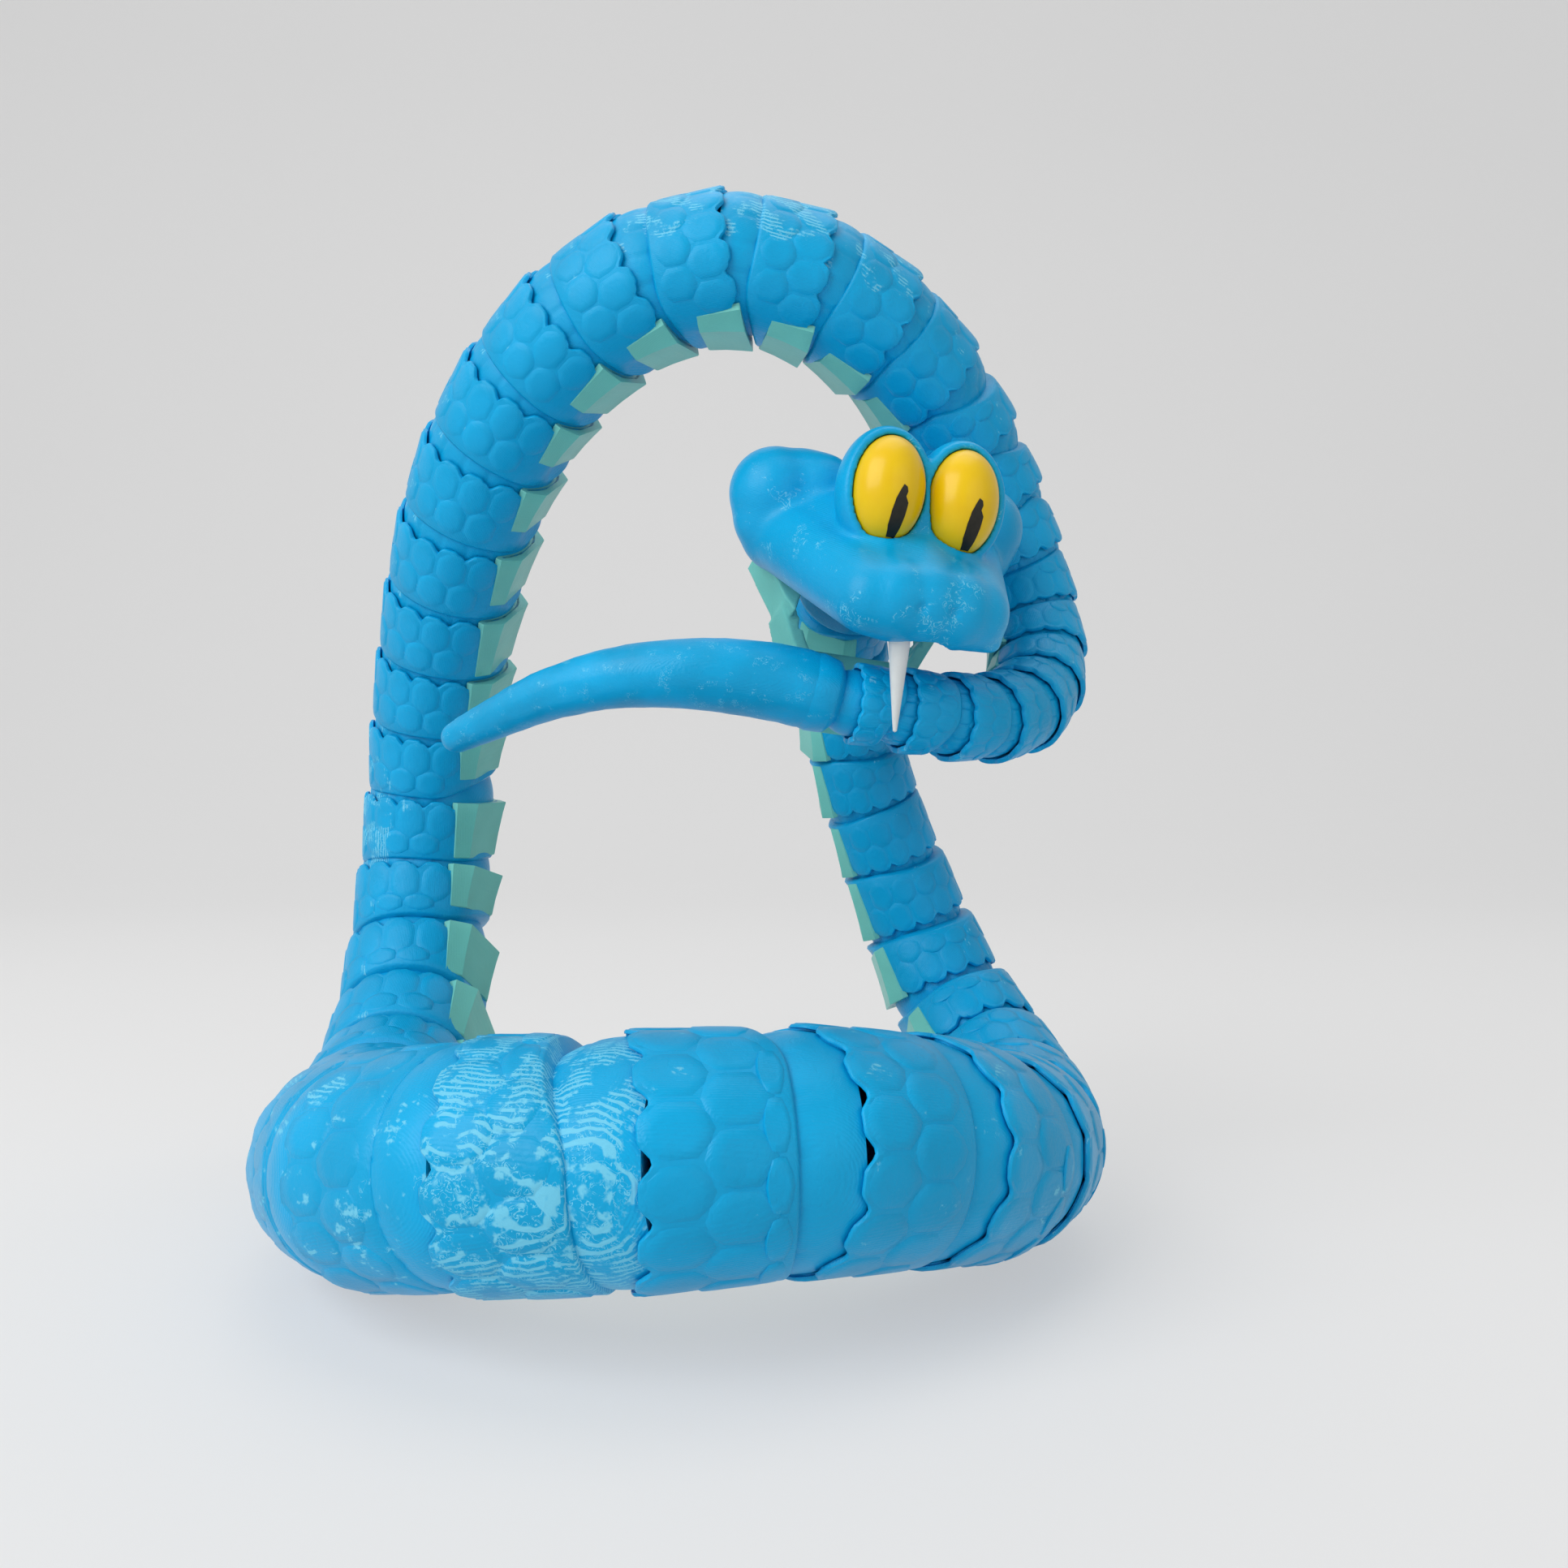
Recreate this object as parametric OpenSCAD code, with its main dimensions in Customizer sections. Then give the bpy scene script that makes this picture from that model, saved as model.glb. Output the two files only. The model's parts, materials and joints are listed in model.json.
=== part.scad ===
// Articulated snake toy: a chain of hollow links on ball joints, wrapped once round an upright arm.
// Every link has a round dome at its front, which turns inside the skirt of the piece ahead of it.
// Link frame: origin at the front joint, +Z to the head, +Y to the back, belly to -Y.
// Head frame: origin at the neck joint, +Z to the nose, +Y to the crown.
// Part frame: +X right, +Y away, +Z up, origin on the belly plate at the top of the arch.

/* [Girth] */
// Girth of the links behind the head
neck_d = 26; // [24:0.5:28]
// Girth of the thickest links, in front of the lower loop
loop_d = 49; // [46:0.5:52]
// Girth on the upright side of the wrap
side_d = 37; // [35:0.5:39]
// Girth at the top of the arch
arch_d = 36; // [34:0.5:37]
// Girth where the tail coil begins
coil_d = 27; // [25:0.5:29]
// Girth of the last link before the tail piece
tail_d = 19; // [18:0.5:21]

/* [Link] */
// Number of links between the head and the tail piece
links = 46; // [44:1:48]
// Wall of a skirt
skirt_wall = 1.5; // [1.2:0.1:2]
// Running gap between a skirt and the dome in it
skirt_gap = 0.6; // [0.4:0.1:0.8]
// Swing of one ball joint to each side, in degrees
swing = 28; // [27.5:0.5:30]
// Ball radius as a share of the skirt's radius
ball_share = 0.26; // [0.24:0.01:0.28]
// Running gap between a ball and its socket
ball_gap = 0.3; // [0.2:0.05:0.4]
// Post radius as a share of the ball's radius
post_share = 0.45; // [0.35:0.01:0.48]
// Wall between a link's socket and its rear hollow
bulkhead = 1.6; // [1.2:0.1:2.2]
// Depth of the notches that give the skirt its jagged edge
tooth_h = 1.6; // [1:0.1:2]
// Angle from one notch to the next
tooth_step = 20; // [18:2:24]
// Half width of a belly plate as a share of the skirt's radius
plate_share = 0.56; // [0.5:0.01:0.6]

/* [Head] */
// Half the distance between the two cheeks
cheek_x = 25.5; // [24:0.5:27]
// Length from the neck joint to the middle of the muzzle's round end
muzzle_z = 56; // [52:1:60]
// Radius of the muzzle's round end
muzzle_r = 9; // [8:0.5:10]
// Tilt of the neck below the head's own axis, in degrees
neck_tilt = 45; // [40:1:50]
// Half width of an eye
eye_r = 8.1; // [7.6:0.1:8.2]
// Half height of an eye
eye_long = 11.6; // [10.5:0.1:12.5]
// Half the distance between the eyes' middles
eye_x = 8.6; // [8.6:0.1:9.4]
// Rim of an eye socket, outside the eye
socket_rim = 2.6; // [2:0.1:3.2]
// Gap between an eye and its socket
eye_gap = 0.2; // [0.1:0.05:0.3]
// Depth of a pupil's inlay in the eye
pupil_depth = 0.8; // [0.5:0.1:1.2]
// Length of the fang below the lip
fang_long = 19.5; // [17:0.5:21]
// Radius of the fang at its root
fang_r = 2.3; // [2:0.1:2.6]
// Opening of the lower jaw, in degrees
jaw_open = 48; // [46:1:52]
// Wall of the lower jaw
jaw_wall = 3; // [2.4:0.1:3.6]
// Radius of the lower jaw's pins
jaw_pin_r = 2; // [1.6:0.1:2.4]
// Gap round the lower jaw's pins
jaw_gap = 0.3; // [0.2:0.05:0.4]

/* [Tail piece] */
// Thickness of the tail piece behind its joint
tail_root_d = 17.6; // [17:0.2:18]
// Thickness of the tail piece's blunt tip
tail_tip_d = 7.4; // [6.5:0.1:8.5]

/* [Hidden] */
$fn = 64;
blue = "deepskyblue";

// Route of the chain from the neck joint to the tail joint: place, then the way its belly faces.
// It is measured from a point in front of the toy, level with its middle.
route = [
  [15, 344, 48, -0.2, -0.4, -0.9],
  [14, 356, 40, -0.5, -0.5, -0.7],
  [15, 365, 28, -0.8, -0.4, -0.4],
  [18, 371, 14, -1, -0.2, 0],
  [22, 375, 0, -1, 0, 0],
  [27, 378, -14, -1, 0, 0],
  [33, 381, -30, -1, 0, 0],
  [40, 379, -47, -1, 0, 0],
  [47, 371, -62, -1, 0, 0],
  [54, 355, -73, -1, 0, 0.1],
  [56, 332, -81, -1, 0.1, 0],
  [49, 302, -80, -1, 0.3, 0],
  [30, 276, -73, -0.7, 0.7, 0],
  [7, 258, -68, -0.2, 1, 0],
  [-20, 250, -68, 0, 1, 0],
  [-47, 253, -69, 0.3, 1, 0],
  [-69, 265, -74, 0.7, 0.6, 0],
  [-88, 286, -79, 1, 0.2, 0],
  [-95, 315, -84, 1, 0, 0],
  [-99, 343, -83, 1, 0, 0],
  [-101, 368, -74, 1, -0.2, 0.1],
  [-103, 387, -56, 1, -0.3, 0.1],
  [-103, 396, -32, 1, -0.3, 0],
  [-101, 396, -6, 1, -0.3, 0],
  [-98, 389, 18, 1, -0.3, 0],
  [-92, 377, 41, 1, -0.2, -0.2],
  [-84, 361, 63, 1, -0.1, -0.3],
  [-72, 346, 85, 0.9, 0, -0.5],
  [-55, 334, 104, 0.6, 0, -0.8],
  [-34, 325, 117, 0.3, 0, -1],
  [-10, 322, 121, 0, 0, -1],
  [13, 327, 115, -0.4, 0.1, -0.9],
  [32, 339, 102, -0.7, 0.1, -0.7],
  [47, 352, 84, -1, 0, -0.4],
  [58, 360, 63, -1, 0, -0.1],
  [64, 358, 43, -1, 0, 0],
  [64, 346, 27, -1, 0.2, 0],
  [57, 331, 18, -0.8, 0.6, 0],
  [45, 319, 15, -0.4, 1, 0],
  [31, 311, 16, 0, 1, 0],
  [15, 307, 18, 0, 1, 0]
];
// Girth and pitch, as a share of girth, at marked links.
girth_marks = [
  [0, neck_d], [4, neck_d + 2], [8, 37], [11, loop_d - 2], [14, loop_d], [17, loop_d - 2],
  [20, 41], [23, side_d], [31, arch_d], [35, arch_d - 4], [38, coil_d], [45, tail_d]
];
pitch_marks = [
  [0, 0.6], [10, 0.63], [12, 0.61], [13, 0.63], [14, 0.6], [16, 0.63], [21, 0.58], [30, 0.56],
  [38, 0.56], [45, 0.6]
];
saddle_link = 30;
saddle_share = 0.75;
// Route and thickness share of the tail piece, from its joint to the tip.
tail_route = [
  [15, 307, 18, 1],
  [0, 304, 22, 0.98],
  [-18, 302, 24, 0.9],
  [-36, 304, 23.5, 0.78],
  [-53, 310, 20, 0.66],
  [-66, 316, 15, 0.54],
  [-76, 321, 11, 0.43]
];

// Fits of the chain.
play = 1;
dome_front = 24;
dome_back = swing + play;
mouth = 58;
shoulder_at = dome_back + 2;
shoulder_share = 0.93;
flank_share = 0.975;
notch_behind = 0.5;
plate_root = 0.6;
plate_top = 0.88;
plate_rise = 0.96;
function girth(i) = lookup(i, girth_marks);
function skirt_r(i) = girth(i) / 2;
function ball_r(i) = skirt_r(i) * ball_share;
function hollow_r(i) = skirt_r(i) - skirt_wall;
function dome_r(i) = hollow_r(i) - skirt_gap;
// The head's neck skirt has the girth of the first link.
function ahead(i) = max(i - 1, 0);

// Smooth curve through a route, its length and the stations of the joints.
curve_steps = 8;
function through(a, b, c, d, t) =
  0.5 * (2 * b + (c - a) * t + (2 * a - 5 * b + 4 * c - d) * t * t + (3 * b - a - 3 * c + d) * t * t * t);
function row_at(rows, i) =
  i < 0 ? 2 * rows[0] - rows[1]
  : i >= len(rows) ? 2 * rows[len(rows) - 1] - rows[len(rows) - 2]
  : rows[i];
function smooth(rows) = concat(
  [for (i = [0 : len(rows) - 2]) for (j = [0 : curve_steps - 1])
    through(row_at(rows, i - 1), rows[i], rows[i + 1], row_at(rows, i + 2), j / curve_steps)],
  [rows[len(rows) - 1]]
);
function place_of(row) = [row[0], row[1], row[2]];
function unit(v) = v / norm(v);
curve = smooth(route);
steps = [for (i = [0 : len(curve) - 2]) norm(place_of(curve[i + 1]) - place_of(curve[i]))];
run = [for (i = 0, s = 0; i < len(curve); s = s + (i < len(steps) ? steps[i] : 0), i = i + 1) s];
tracks = [for (axis = [0 : 5]) [for (i = [0 : len(curve) - 1]) [run[i], curve[i][axis]]]];
function track(s, axes) = [for (axis = axes) lookup(s, tracks[axis])];

shares = [for (i = [0 : links - 1]) lookup(i, pitch_marks) * girth(i)];
share_run = [for (i = 0, s = 0; i <= links; s = s + (i < links ? shares[i] : 0), i = i + 1) s];
pitch_scale = run[len(run) - 1] / share_run[links];
function joint_raw(i) = track(share_run[i] * pitch_scale, [0, 1, 2]);
function pitch(i) = norm(joint_raw(i + 1) - joint_raw(i));
function link_z(i) = unit(joint_raw(i) - joint_raw(i + 1));
function link_y(i) =
  let (z = link_z(i), b = track((share_run[i] + share_run[i + 1]) / 2 * pitch_scale, [3, 4, 5]))
  unit((b * z) * z - b);
function link_x(i) = cross(link_y(i), link_z(i));

// A belly plate starts where the plate ahead of it can't reach, and slopes out to its rear edge.
function plate_front_z(r) = -tan(dome_back + play) * norm([plate_share * r, plate_top * r]);
function plate_drop(i, t) =
  let (r = skirt_r(i), front = plate_front_z(r), z = -pitch(i) * t)
  r * (plate_top + (plate_rise - plate_top) * (z - front) / (-pitch(i) - front));

// Origin of the whole part: on the middle of the saddle link's belly plate.
saddle = joint_raw(saddle_link) - link_z(saddle_link) * pitch(saddle_link) * saddle_share
  - link_y(saddle_link) * plate_drop(saddle_link, saddle_share);
function joint_at(i) = joint_raw(i) - saddle;

// Head frame.
head_yaw = 14;
head_pitch = 20;
head_roll = 7;
head_flat = [cos(head_yaw), sin(head_yaw), 0];
head_up = [sin(head_yaw) * sin(head_pitch), -cos(head_yaw) * sin(head_pitch), cos(head_pitch)];
head_x = head_flat * cos(head_roll) - head_up * sin(head_roll);
head_y = head_up * cos(head_roll) + head_flat * sin(head_roll);
head_z = [sin(head_yaw) * cos(head_pitch), -cos(head_yaw) * cos(head_pitch), -sin(head_pitch)];

module in_frame(x, y, z, at) {
  multmatrix([
    [x[0], y[0], z[0], at[0]],
    [x[1], y[1], z[1], at[1]],
    [x[2], y[2], z[2], at[2]],
    [0, 0, 0, 1]
  ])
    children();
}

module in_head() {
  in_frame(head_x, head_y, head_z, joint_at(0)) children();
}

// Turns +Z from a towards b, with the origin at a.
module toward(a, b) {
  d = b - a;
  translate(a) rotate([0, acos(d[2] / norm(d)), atan2(d[1], d[0])]) children();
}

// Two balls joined by a cone a little inside both.
module limb(a, ra, b, rb) {
  translate(a) sphere(r = ra);
  translate(b) sphere(r = rb);
  toward(a, b) cylinder(h = norm(b - a), r1 = ra * 0.98, r2 = rb * 0.98);
}

module both_sides() {
  children();
  mirror([1, 0, 0]) children();
}

// Ball cavity, mouth and weight-saving groove of a dome that holds a ball.
module front_cut(dome, ball) {
  socket = ball + ball_gap;
  front = dome * sin(dome_front);
  sphere(r = socket);
  cylinder(h = front + 1, r1 = 0, r2 = (front + 1) * tan(mouth));
  groove_in = socket + skirt_wall;
  groove_out = dome * cos(dome_front) - 1.2 * skirt_wall;
  groove_floor = dome * 0.15;
  if (groove_out > groove_in + 1.5)
    difference() {
      translate([0, 0, -groove_floor]) cylinder(h = front + 1 + groove_floor, r = groove_out);
      translate([0, 0, -groove_floor - 1]) cylinder(h = front + 3 + groove_floor, r = groove_in);
    }
}

function dome_outline(dome) = concat(
  [[0, dome * sin(dome_front)]],
  [for (k = [0 : 6])
    let (a = dome_front - (dome_front + dome_back) * k / 6) [dome * cos(a), dome * sin(a)]]
);

// Post and ball behind a wall at the given depth, with the ball at the next joint.
module rear_ball(length, depth, ball) {
  translate([0, 0, -length]) cylinder(h = length - depth + 0.6, r = ball * post_share);
  translate([0, 0, -length]) sphere(r = ball);
}

// Notches round the back and sides of a skirt's edge. Each is a square on its corner, set behind it.
module notches(length, r) {
  for (a = [-50 : tooth_step : 230])
    rotate([0, 0, a]) translate([r - 2 * skirt_wall, 0, -length - notch_behind]) rotate([0, 90, 0])
      cylinder(h = 3 * skirt_wall, r = tooth_h + notch_behind, $fn = 4);
}

module link(i) {
  r = skirt_r(i);
  long = pitch(i);
  dome = dome_r(ahead(i));
  ball = ball_r(ahead(i));
  depth = ball + ball_gap + bulkhead;
  shoulder = max(shoulder_share * r, dome + 0.2);
  half = plate_share * r;
  plate_z = plate_front_z(r);
  color(blue) in_frame(link_x(i), link_y(i), link_z(i), joint_at(i)) {
    difference() {
      union() {
        rotate_extrude() polygon(concat(dome_outline(dome), [
          [shoulder, -shoulder * tan(shoulder_at)],
          [flank_share * r, -(shoulder * tan(shoulder_at) + long) / 2],
          [r, -long],
          [0, -long]
        ]));
        translate([-half, 0, 0]) rotate([90, 0, 90]) linear_extrude(2 * half) polygon([
          [-plate_root * r, plate_z],
          [-plate_top * r, plate_z],
          [-plate_rise * r, -long],
          [-plate_root * r, -long]
        ]);
      }
      front_cut(dome, ball);
      intersection() {
        translate([0, 0, -long]) sphere(r = hollow_r(i));
        translate([-r, -r, -long - r]) cube([2 * r, 2 * r, long + r - depth]);
      }
      notches(long, r);
    }
    rear_ball(long, depth, ball_r(i));
  }
}

// Tail piece: a dome like a link's, then one smooth tapering bow to a blunt tip.
tail_curve = smooth(tail_route);
tail_sides = 16;
tail_z = unit(place_of(tail_curve[0]) - place_of(tail_curve[2]));
tail_y = unit([0, -1, 0] + tail_z[1] * tail_z);
tail_x = cross(tail_y, tail_z);
tail_first = 5;
function tail_r(share) = tail_tip_d / 2 + (tail_root_d - tail_tip_d) / 2 * (share - 0.43) / 0.57;
function tail_ring(k) =
  let (
    last = len(tail_curve) - 1,
    a = place_of(tail_curve[max(k - 1, 0)]),
    b = place_of(tail_curve[min(k + 1, last)]),
    t = unit(b - a),
    side = unit(cross([0, 0, 1], t)),
    up = cross(t, side),
    at = place_of(tail_curve[k]) - saddle,
    r = tail_r(tail_curve[k][3])
  )
  [for (j = [0 : tail_sides - 1])
    at + r * (side * cos(360 * j / tail_sides) + up * sin(360 * j / tail_sides))];
// Round end: rings that shrink along a quarter circle past the last place.
function tip_ring(q) =
  let (
    last = len(tail_curve) - 1,
    t = unit(place_of(tail_curve[last]) - place_of(tail_curve[last - 1])),
    side = unit(cross([0, 0, 1], t)),
    up = cross(t, side),
    r = tail_r(tail_curve[last][3]),
    at = place_of(tail_curve[last]) - saddle + t * r * sin(q)
  )
  [for (j = [0 : tail_sides - 1])
    at + r * cos(q) * (side * cos(360 * j / tail_sides) + up * sin(360 * j / tail_sides))];

module tail_bow() {
  rings = concat(
    [for (k = [tail_first : 2 : len(tail_curve) - 1]) tail_ring(k)],
    [for (q = [30, 60, 80]) tip_ring(q)]
  );
  n = tail_sides;
  polyhedron(
    points = [for (ring = rings) each ring],
    faces = concat(
      [[for (j = [0 : n - 1]) j]],
      [for (k = [0 : len(rings) - 2]) for (j = [0 : n - 1])
        [k * n + j, (k + 1) * n + j, k * n + (j + 1) % n]],
      [for (k = [0 : len(rings) - 2]) for (j = [0 : n - 1])
        [k * n + (j + 1) % n, (k + 1) * n + j, (k + 1) * n + (j + 1) % n]],
      [[for (j = [n - 1 : -1 : 0]) (len(rings) - 1) * n + j]]
    )
  );
}

module tail_piece() {
  dome = dome_r(links - 1);
  ball = ball_r(links - 1);
  root = tail_root_d / 2;
  stub = norm(place_of(tail_curve[tail_first]) - place_of(tail_curve[0])) + 0.8;
  color(blue) {
    in_frame(tail_x, tail_y, tail_z, joint_at(links)) difference() {
      rotate_extrude() polygon(concat(dome_outline(dome), [
        [shoulder_share * root, -shoulder_share * root * tan(shoulder_at)],
        [root, -root],
        [root * 0.985, -stub],
        [0, -stub]
      ]));
      front_cut(dome, ball);
    }
    tail_bow();
  }
}

// Places in the head frame.
cheek_y = 14;
cheek_z = 14;
jaw_at = [0, 6, 14];
jaw_in = 15.5;
ear_gap = 0.6;
lip_y = 0.6;
eye_at = [eye_x, 30, 41];
eye_tilt = 18;
eye_seat = 5;
rim_ahead = 1.5;
fang_at = [-3.8, 1.4, 56];
fang_lean = [3, -fang_long, 2];
fang_peg = 3;
fang_fit = 0.1;

// Egg with its long axis along Z.
module egg(side, long) {
  rotate_extrude() polygon(concat(
    [[0, -long]],
    [for (a = [-82.5 : 7.5 : 82.5]) [side * cos(a), long * sin(a)]],
    [[0, long]]
  ));
}

// Right eye's frame: its long axis leans back from the crown's direction.
module at_eye() {
  translate(eye_at) rotate([-eye_tilt, 0, 0]) children();
}

module eye_form(grow) {
  rotate([-90, 0, 0]) egg(eye_r + grow, eye_long + grow);
}

// Everything in front of the eye's flat seat.
module before_seat() {
  translate([-20, -20, -eye_seat]) cube([40, 40, 40]);
}

// A slanted slit, drawn in the eye's own front view. Both pupils slant alike.
module slit() {
  linear_extrude(20) polygon([
    [0.8, 0], [1.6, -0.4], [1.9, -1.4], [1.6, -2.4], [2.4, -3.6], [2.3, -6], [2, -8.6],
    [1.6, -10.6], [-0.3, -10.6], [-0.9, -8.4], [-0.9, -5.6], [-0.5, -3], [0.2, -1.2]
  ]);
}

// Places its children, drawn for the right side of the view, at one eye. The slit isn't mirrored.
module in_eye(side) {
  in_head() mirror([side < 0 ? 1 : 0, 0, 0]) at_eye() children();
}

module head_shell() {
  r = skirt_r(0);
  hollow_top = hollow_r(0) - 1.5;
  color(blue) in_head() {
    difference() {
      union() {
        limb([0, 17, 24], 16, [0, 24, 31], 14);
        limb([0, muzzle_r + 4, 30], 13.5, [0, muzzle_r + lip_y, muzzle_z], muzzle_r);
        both_sides() {
          limb([cheek_x, cheek_y + 8, cheek_z - 1], 10.8, [cheek_x - 3, cheek_y, cheek_z], 10);
          limb([0, 17, 22], 13, [cheek_x - 1, cheek_y + 3, cheek_z], 10);
          limb([cheek_x - 4, cheek_y, cheek_z + 1], 9.5, [11, 0.9 * muzzle_r + lip_y, muzzle_z - 1], 0.9 * muzzle_r);
          limb([cheek_x / 2, cheek_y, cheek_z + 5], 12.5, [4.5, muzzle_r + 0.5, muzzle_z - 4], muzzle_r);
          limb([cheek_x / 2, cheek_y + 2, cheek_z + 8], 10.5, [7, 15, 40], 9.5);
          difference() {
            at_eye() translate([0, 0, -2.5]) eye_form(socket_rim);
            at_eye() translate([-20, -20, rim_ahead]) cube([40, 40, 20]);
          }
        }
        rotate([-neck_tilt, 0, 0]) rotate_extrude() polygon([
          [0, 0], [r, 0], [r, 5], [0.97 * r, 12], [0.8 * r, 18], [0, 20]
        ]);
      }
      rotate([-neck_tilt, 0, 0]) intersection() {
        sphere(r = hollow_r(0));
        translate([-r, -r, -r]) cube([2 * r, 2 * r, r + hollow_top]);
      }
      both_sides() {
        intersection() {
          at_eye() eye_form(eye_gap);
          at_eye() before_seat();
        }
        translate([jaw_in - ear_gap, -20, 8]) cube([jaw_wall + 2 * ear_gap, 26.5, 28]);
        translate([jaw_in - ear_gap, jaw_at[1], jaw_at[2]]) rotate([0, 90, 0])
          cylinder(h = jaw_wall + 2 * ear_gap, r = 5.4);
        translate([jaw_in, jaw_at[1], jaw_at[2]]) rotate([0, 90, 0])
          cylinder(h = jaw_wall + 5, r = jaw_pin_r + jaw_gap);
        translate([3.5, 9.5, muzzle_z + muzzle_r - 1.4]) sphere(r = 1.6);
      }
      toward(fang_at, fang_at + fang_lean) translate([0, 0, -fang_peg - fang_fit])
        cylinder(h = 12, r = fang_r + fang_fit);
    }
    rotate([-neck_tilt, 0, 0]) rear_ball(0, -hollow_top, ball_r(0));
  }
}

// Lower jaw: an open scoop on two ears, with pins that enter the cheeks.
module lower_jaw() {
  out = jaw_in + jaw_wall;
  color("aquamarine") in_head() translate(jaw_at) rotate([jaw_open, 0, 0]) {
    difference() {
      intersection() {
        translate([0, 20, 0]) rotate([90, 0, 0]) linear_extrude(40) polygon([
          [-out, -6], [out, -6], [out, 5], [out + 2, 9], [out - 5, 22], [8, 36],
          [-8, 36], [5 - out, 22], [-out - 2, 9], [-out, 5]
        ]);
        rotate([0, 90, 0]) translate([0, 0, -out]) linear_extrude(2 * out) polygon([
          [4, 0], [2, 4], [-3, 4], [-8, -1], [-16, -5], [-28, -9], [-35, -10], [-36, -12], [-33, -15], [-12, -15],
          [2, -4]
        ]);
      }
      translate([0, 20, 0]) rotate([90, 0, 0]) linear_extrude(32.5) polygon([
        [-jaw_in, -7], [jaw_in, -7], [jaw_in, 5], [jaw_in + 1.5, 9], [jaw_in - 5, 21], [6, 32],
        [-6, 32], [5 - jaw_in, 21], [-jaw_in - 1.5, 9], [-jaw_in, 5]
      ]);
      translate([-jaw_in, -20, -7]) cube([2 * jaw_in, 40, 21]);
    }
    both_sides() translate([out - 0.5, 0, 0]) rotate([0, 90, 0]) cylinder(h = 5, r = jaw_pin_r);
  }
}

// Eye: an egg cut flat behind, with a slit cut for its pupil. Sides are the snake's own.
module eye(side) {
  color("gold") difference() {
    in_eye(side) intersection() {
      eye_form(0);
      before_seat();
    }
    in_eye(side) mirror([side < 0 ? 1 : 0, 0, 0]) difference() {
      slit();
      eye_form(-pupil_depth);
    }
  }
}

// Pupil: an inlay that fills the slit and stands a hair above the eye.
module pupil(side) {
  color("black") in_eye(side) mirror([side < 0 ? 1 : 0, 0, 0]) difference() {
    intersection() {
      slit();
      eye_form(eye_gap / 2);
    }
    eye_form(-pupil_depth);
  }
}

// Fang: a round peg in the upper jaw that tapers to a blunt point.
module fang() {
  color("white") in_head() toward(fang_at, fang_at + fang_lean) {
    translate([0, 0, -fang_peg]) cylinder(h = fang_peg + 2, r = fang_r);
    translate([0, 0, 2]) cylinder(h = fang_long - 1.2, r1 = fang_r, r2 = 0.4);
  }
}

head_shell();
lower_jaw();
eye(1);  // eye_left
eye(-1);  // eye_right
pupil(1);  // pupil_left
pupil(-1);  // pupil_right
fang();
for (i = [1 : links]) link(i - 1);
tail_piece();
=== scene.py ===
import json
import math
import bpy
import numpy as np
from mathutils import Matrix, Vector


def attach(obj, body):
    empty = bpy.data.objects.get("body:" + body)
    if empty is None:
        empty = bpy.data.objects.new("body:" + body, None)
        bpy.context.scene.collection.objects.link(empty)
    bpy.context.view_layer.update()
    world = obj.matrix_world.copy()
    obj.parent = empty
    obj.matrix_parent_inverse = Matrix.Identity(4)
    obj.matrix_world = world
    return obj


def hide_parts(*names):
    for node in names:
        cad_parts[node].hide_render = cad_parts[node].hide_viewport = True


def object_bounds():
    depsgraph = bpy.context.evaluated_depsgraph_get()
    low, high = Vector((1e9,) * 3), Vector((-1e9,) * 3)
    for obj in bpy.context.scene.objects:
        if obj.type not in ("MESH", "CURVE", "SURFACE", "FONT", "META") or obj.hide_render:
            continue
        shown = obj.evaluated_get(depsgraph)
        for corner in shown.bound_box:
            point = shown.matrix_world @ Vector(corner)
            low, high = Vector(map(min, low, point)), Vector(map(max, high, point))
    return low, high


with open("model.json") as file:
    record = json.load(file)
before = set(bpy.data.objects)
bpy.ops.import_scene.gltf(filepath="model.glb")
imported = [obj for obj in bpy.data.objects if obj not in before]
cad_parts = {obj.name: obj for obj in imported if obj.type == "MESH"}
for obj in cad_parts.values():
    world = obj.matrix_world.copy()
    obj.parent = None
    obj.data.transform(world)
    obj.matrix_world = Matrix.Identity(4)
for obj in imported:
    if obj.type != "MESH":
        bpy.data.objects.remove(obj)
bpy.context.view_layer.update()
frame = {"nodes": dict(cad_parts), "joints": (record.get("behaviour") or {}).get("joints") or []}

# The plastics. The toy is printed in two glossy colours, blue and mint, in thin layers.
# The layers show as fine lines. In patches the lines and wrinkles are painted pale, partly as scuffs and
# partly as painted highlight.


def fill(tree, node, sockets):
    """Links or sets the inputs of a node."""
    for key, value in sockets.items():
        if isinstance(value, bpy.types.NodeSocket):
            tree.links.new(value, node.inputs[key])
        else:
            node.inputs[key].default_value = value


def add(tree, kind, settings, sockets):
    made = tree.nodes.new(kind)
    for key, value in settings.items():
        setattr(made, key, value)
    fill(tree, made, sockets)
    return made


def maths(tree, operation, *values):
    return add(tree, "ShaderNodeMath", {"operation": operation}, dict(enumerate(values))).outputs[0]


def give_sockets(tree, side, kinds):
    for name, kind in kinds.items():
        tree.interface.new_socket(name, in_out=side, socket_type="NodeSocket" + kind)


printed = bpy.data.node_groups.new("Printed layers", "ShaderNodeTree")
give_sockets(printed, "INPUT", {"At": "Vector", "Base": "Color", "Pale": "Color", "Rubbed": "Float",
                                "Curls": "Float"})
give_sockets(printed, "OUTPUT", {"Color": "Color", "Roughness": "Float", "Height": "Float"})
given = printed.nodes.new("NodeGroupInput").outputs


def pattern(kind, values, **settings):
    """A texture laid out in the piece's own frame."""
    return add(printed, kind, settings, {"Vector": given["At"], **values}).outputs["Fac"]


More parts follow.
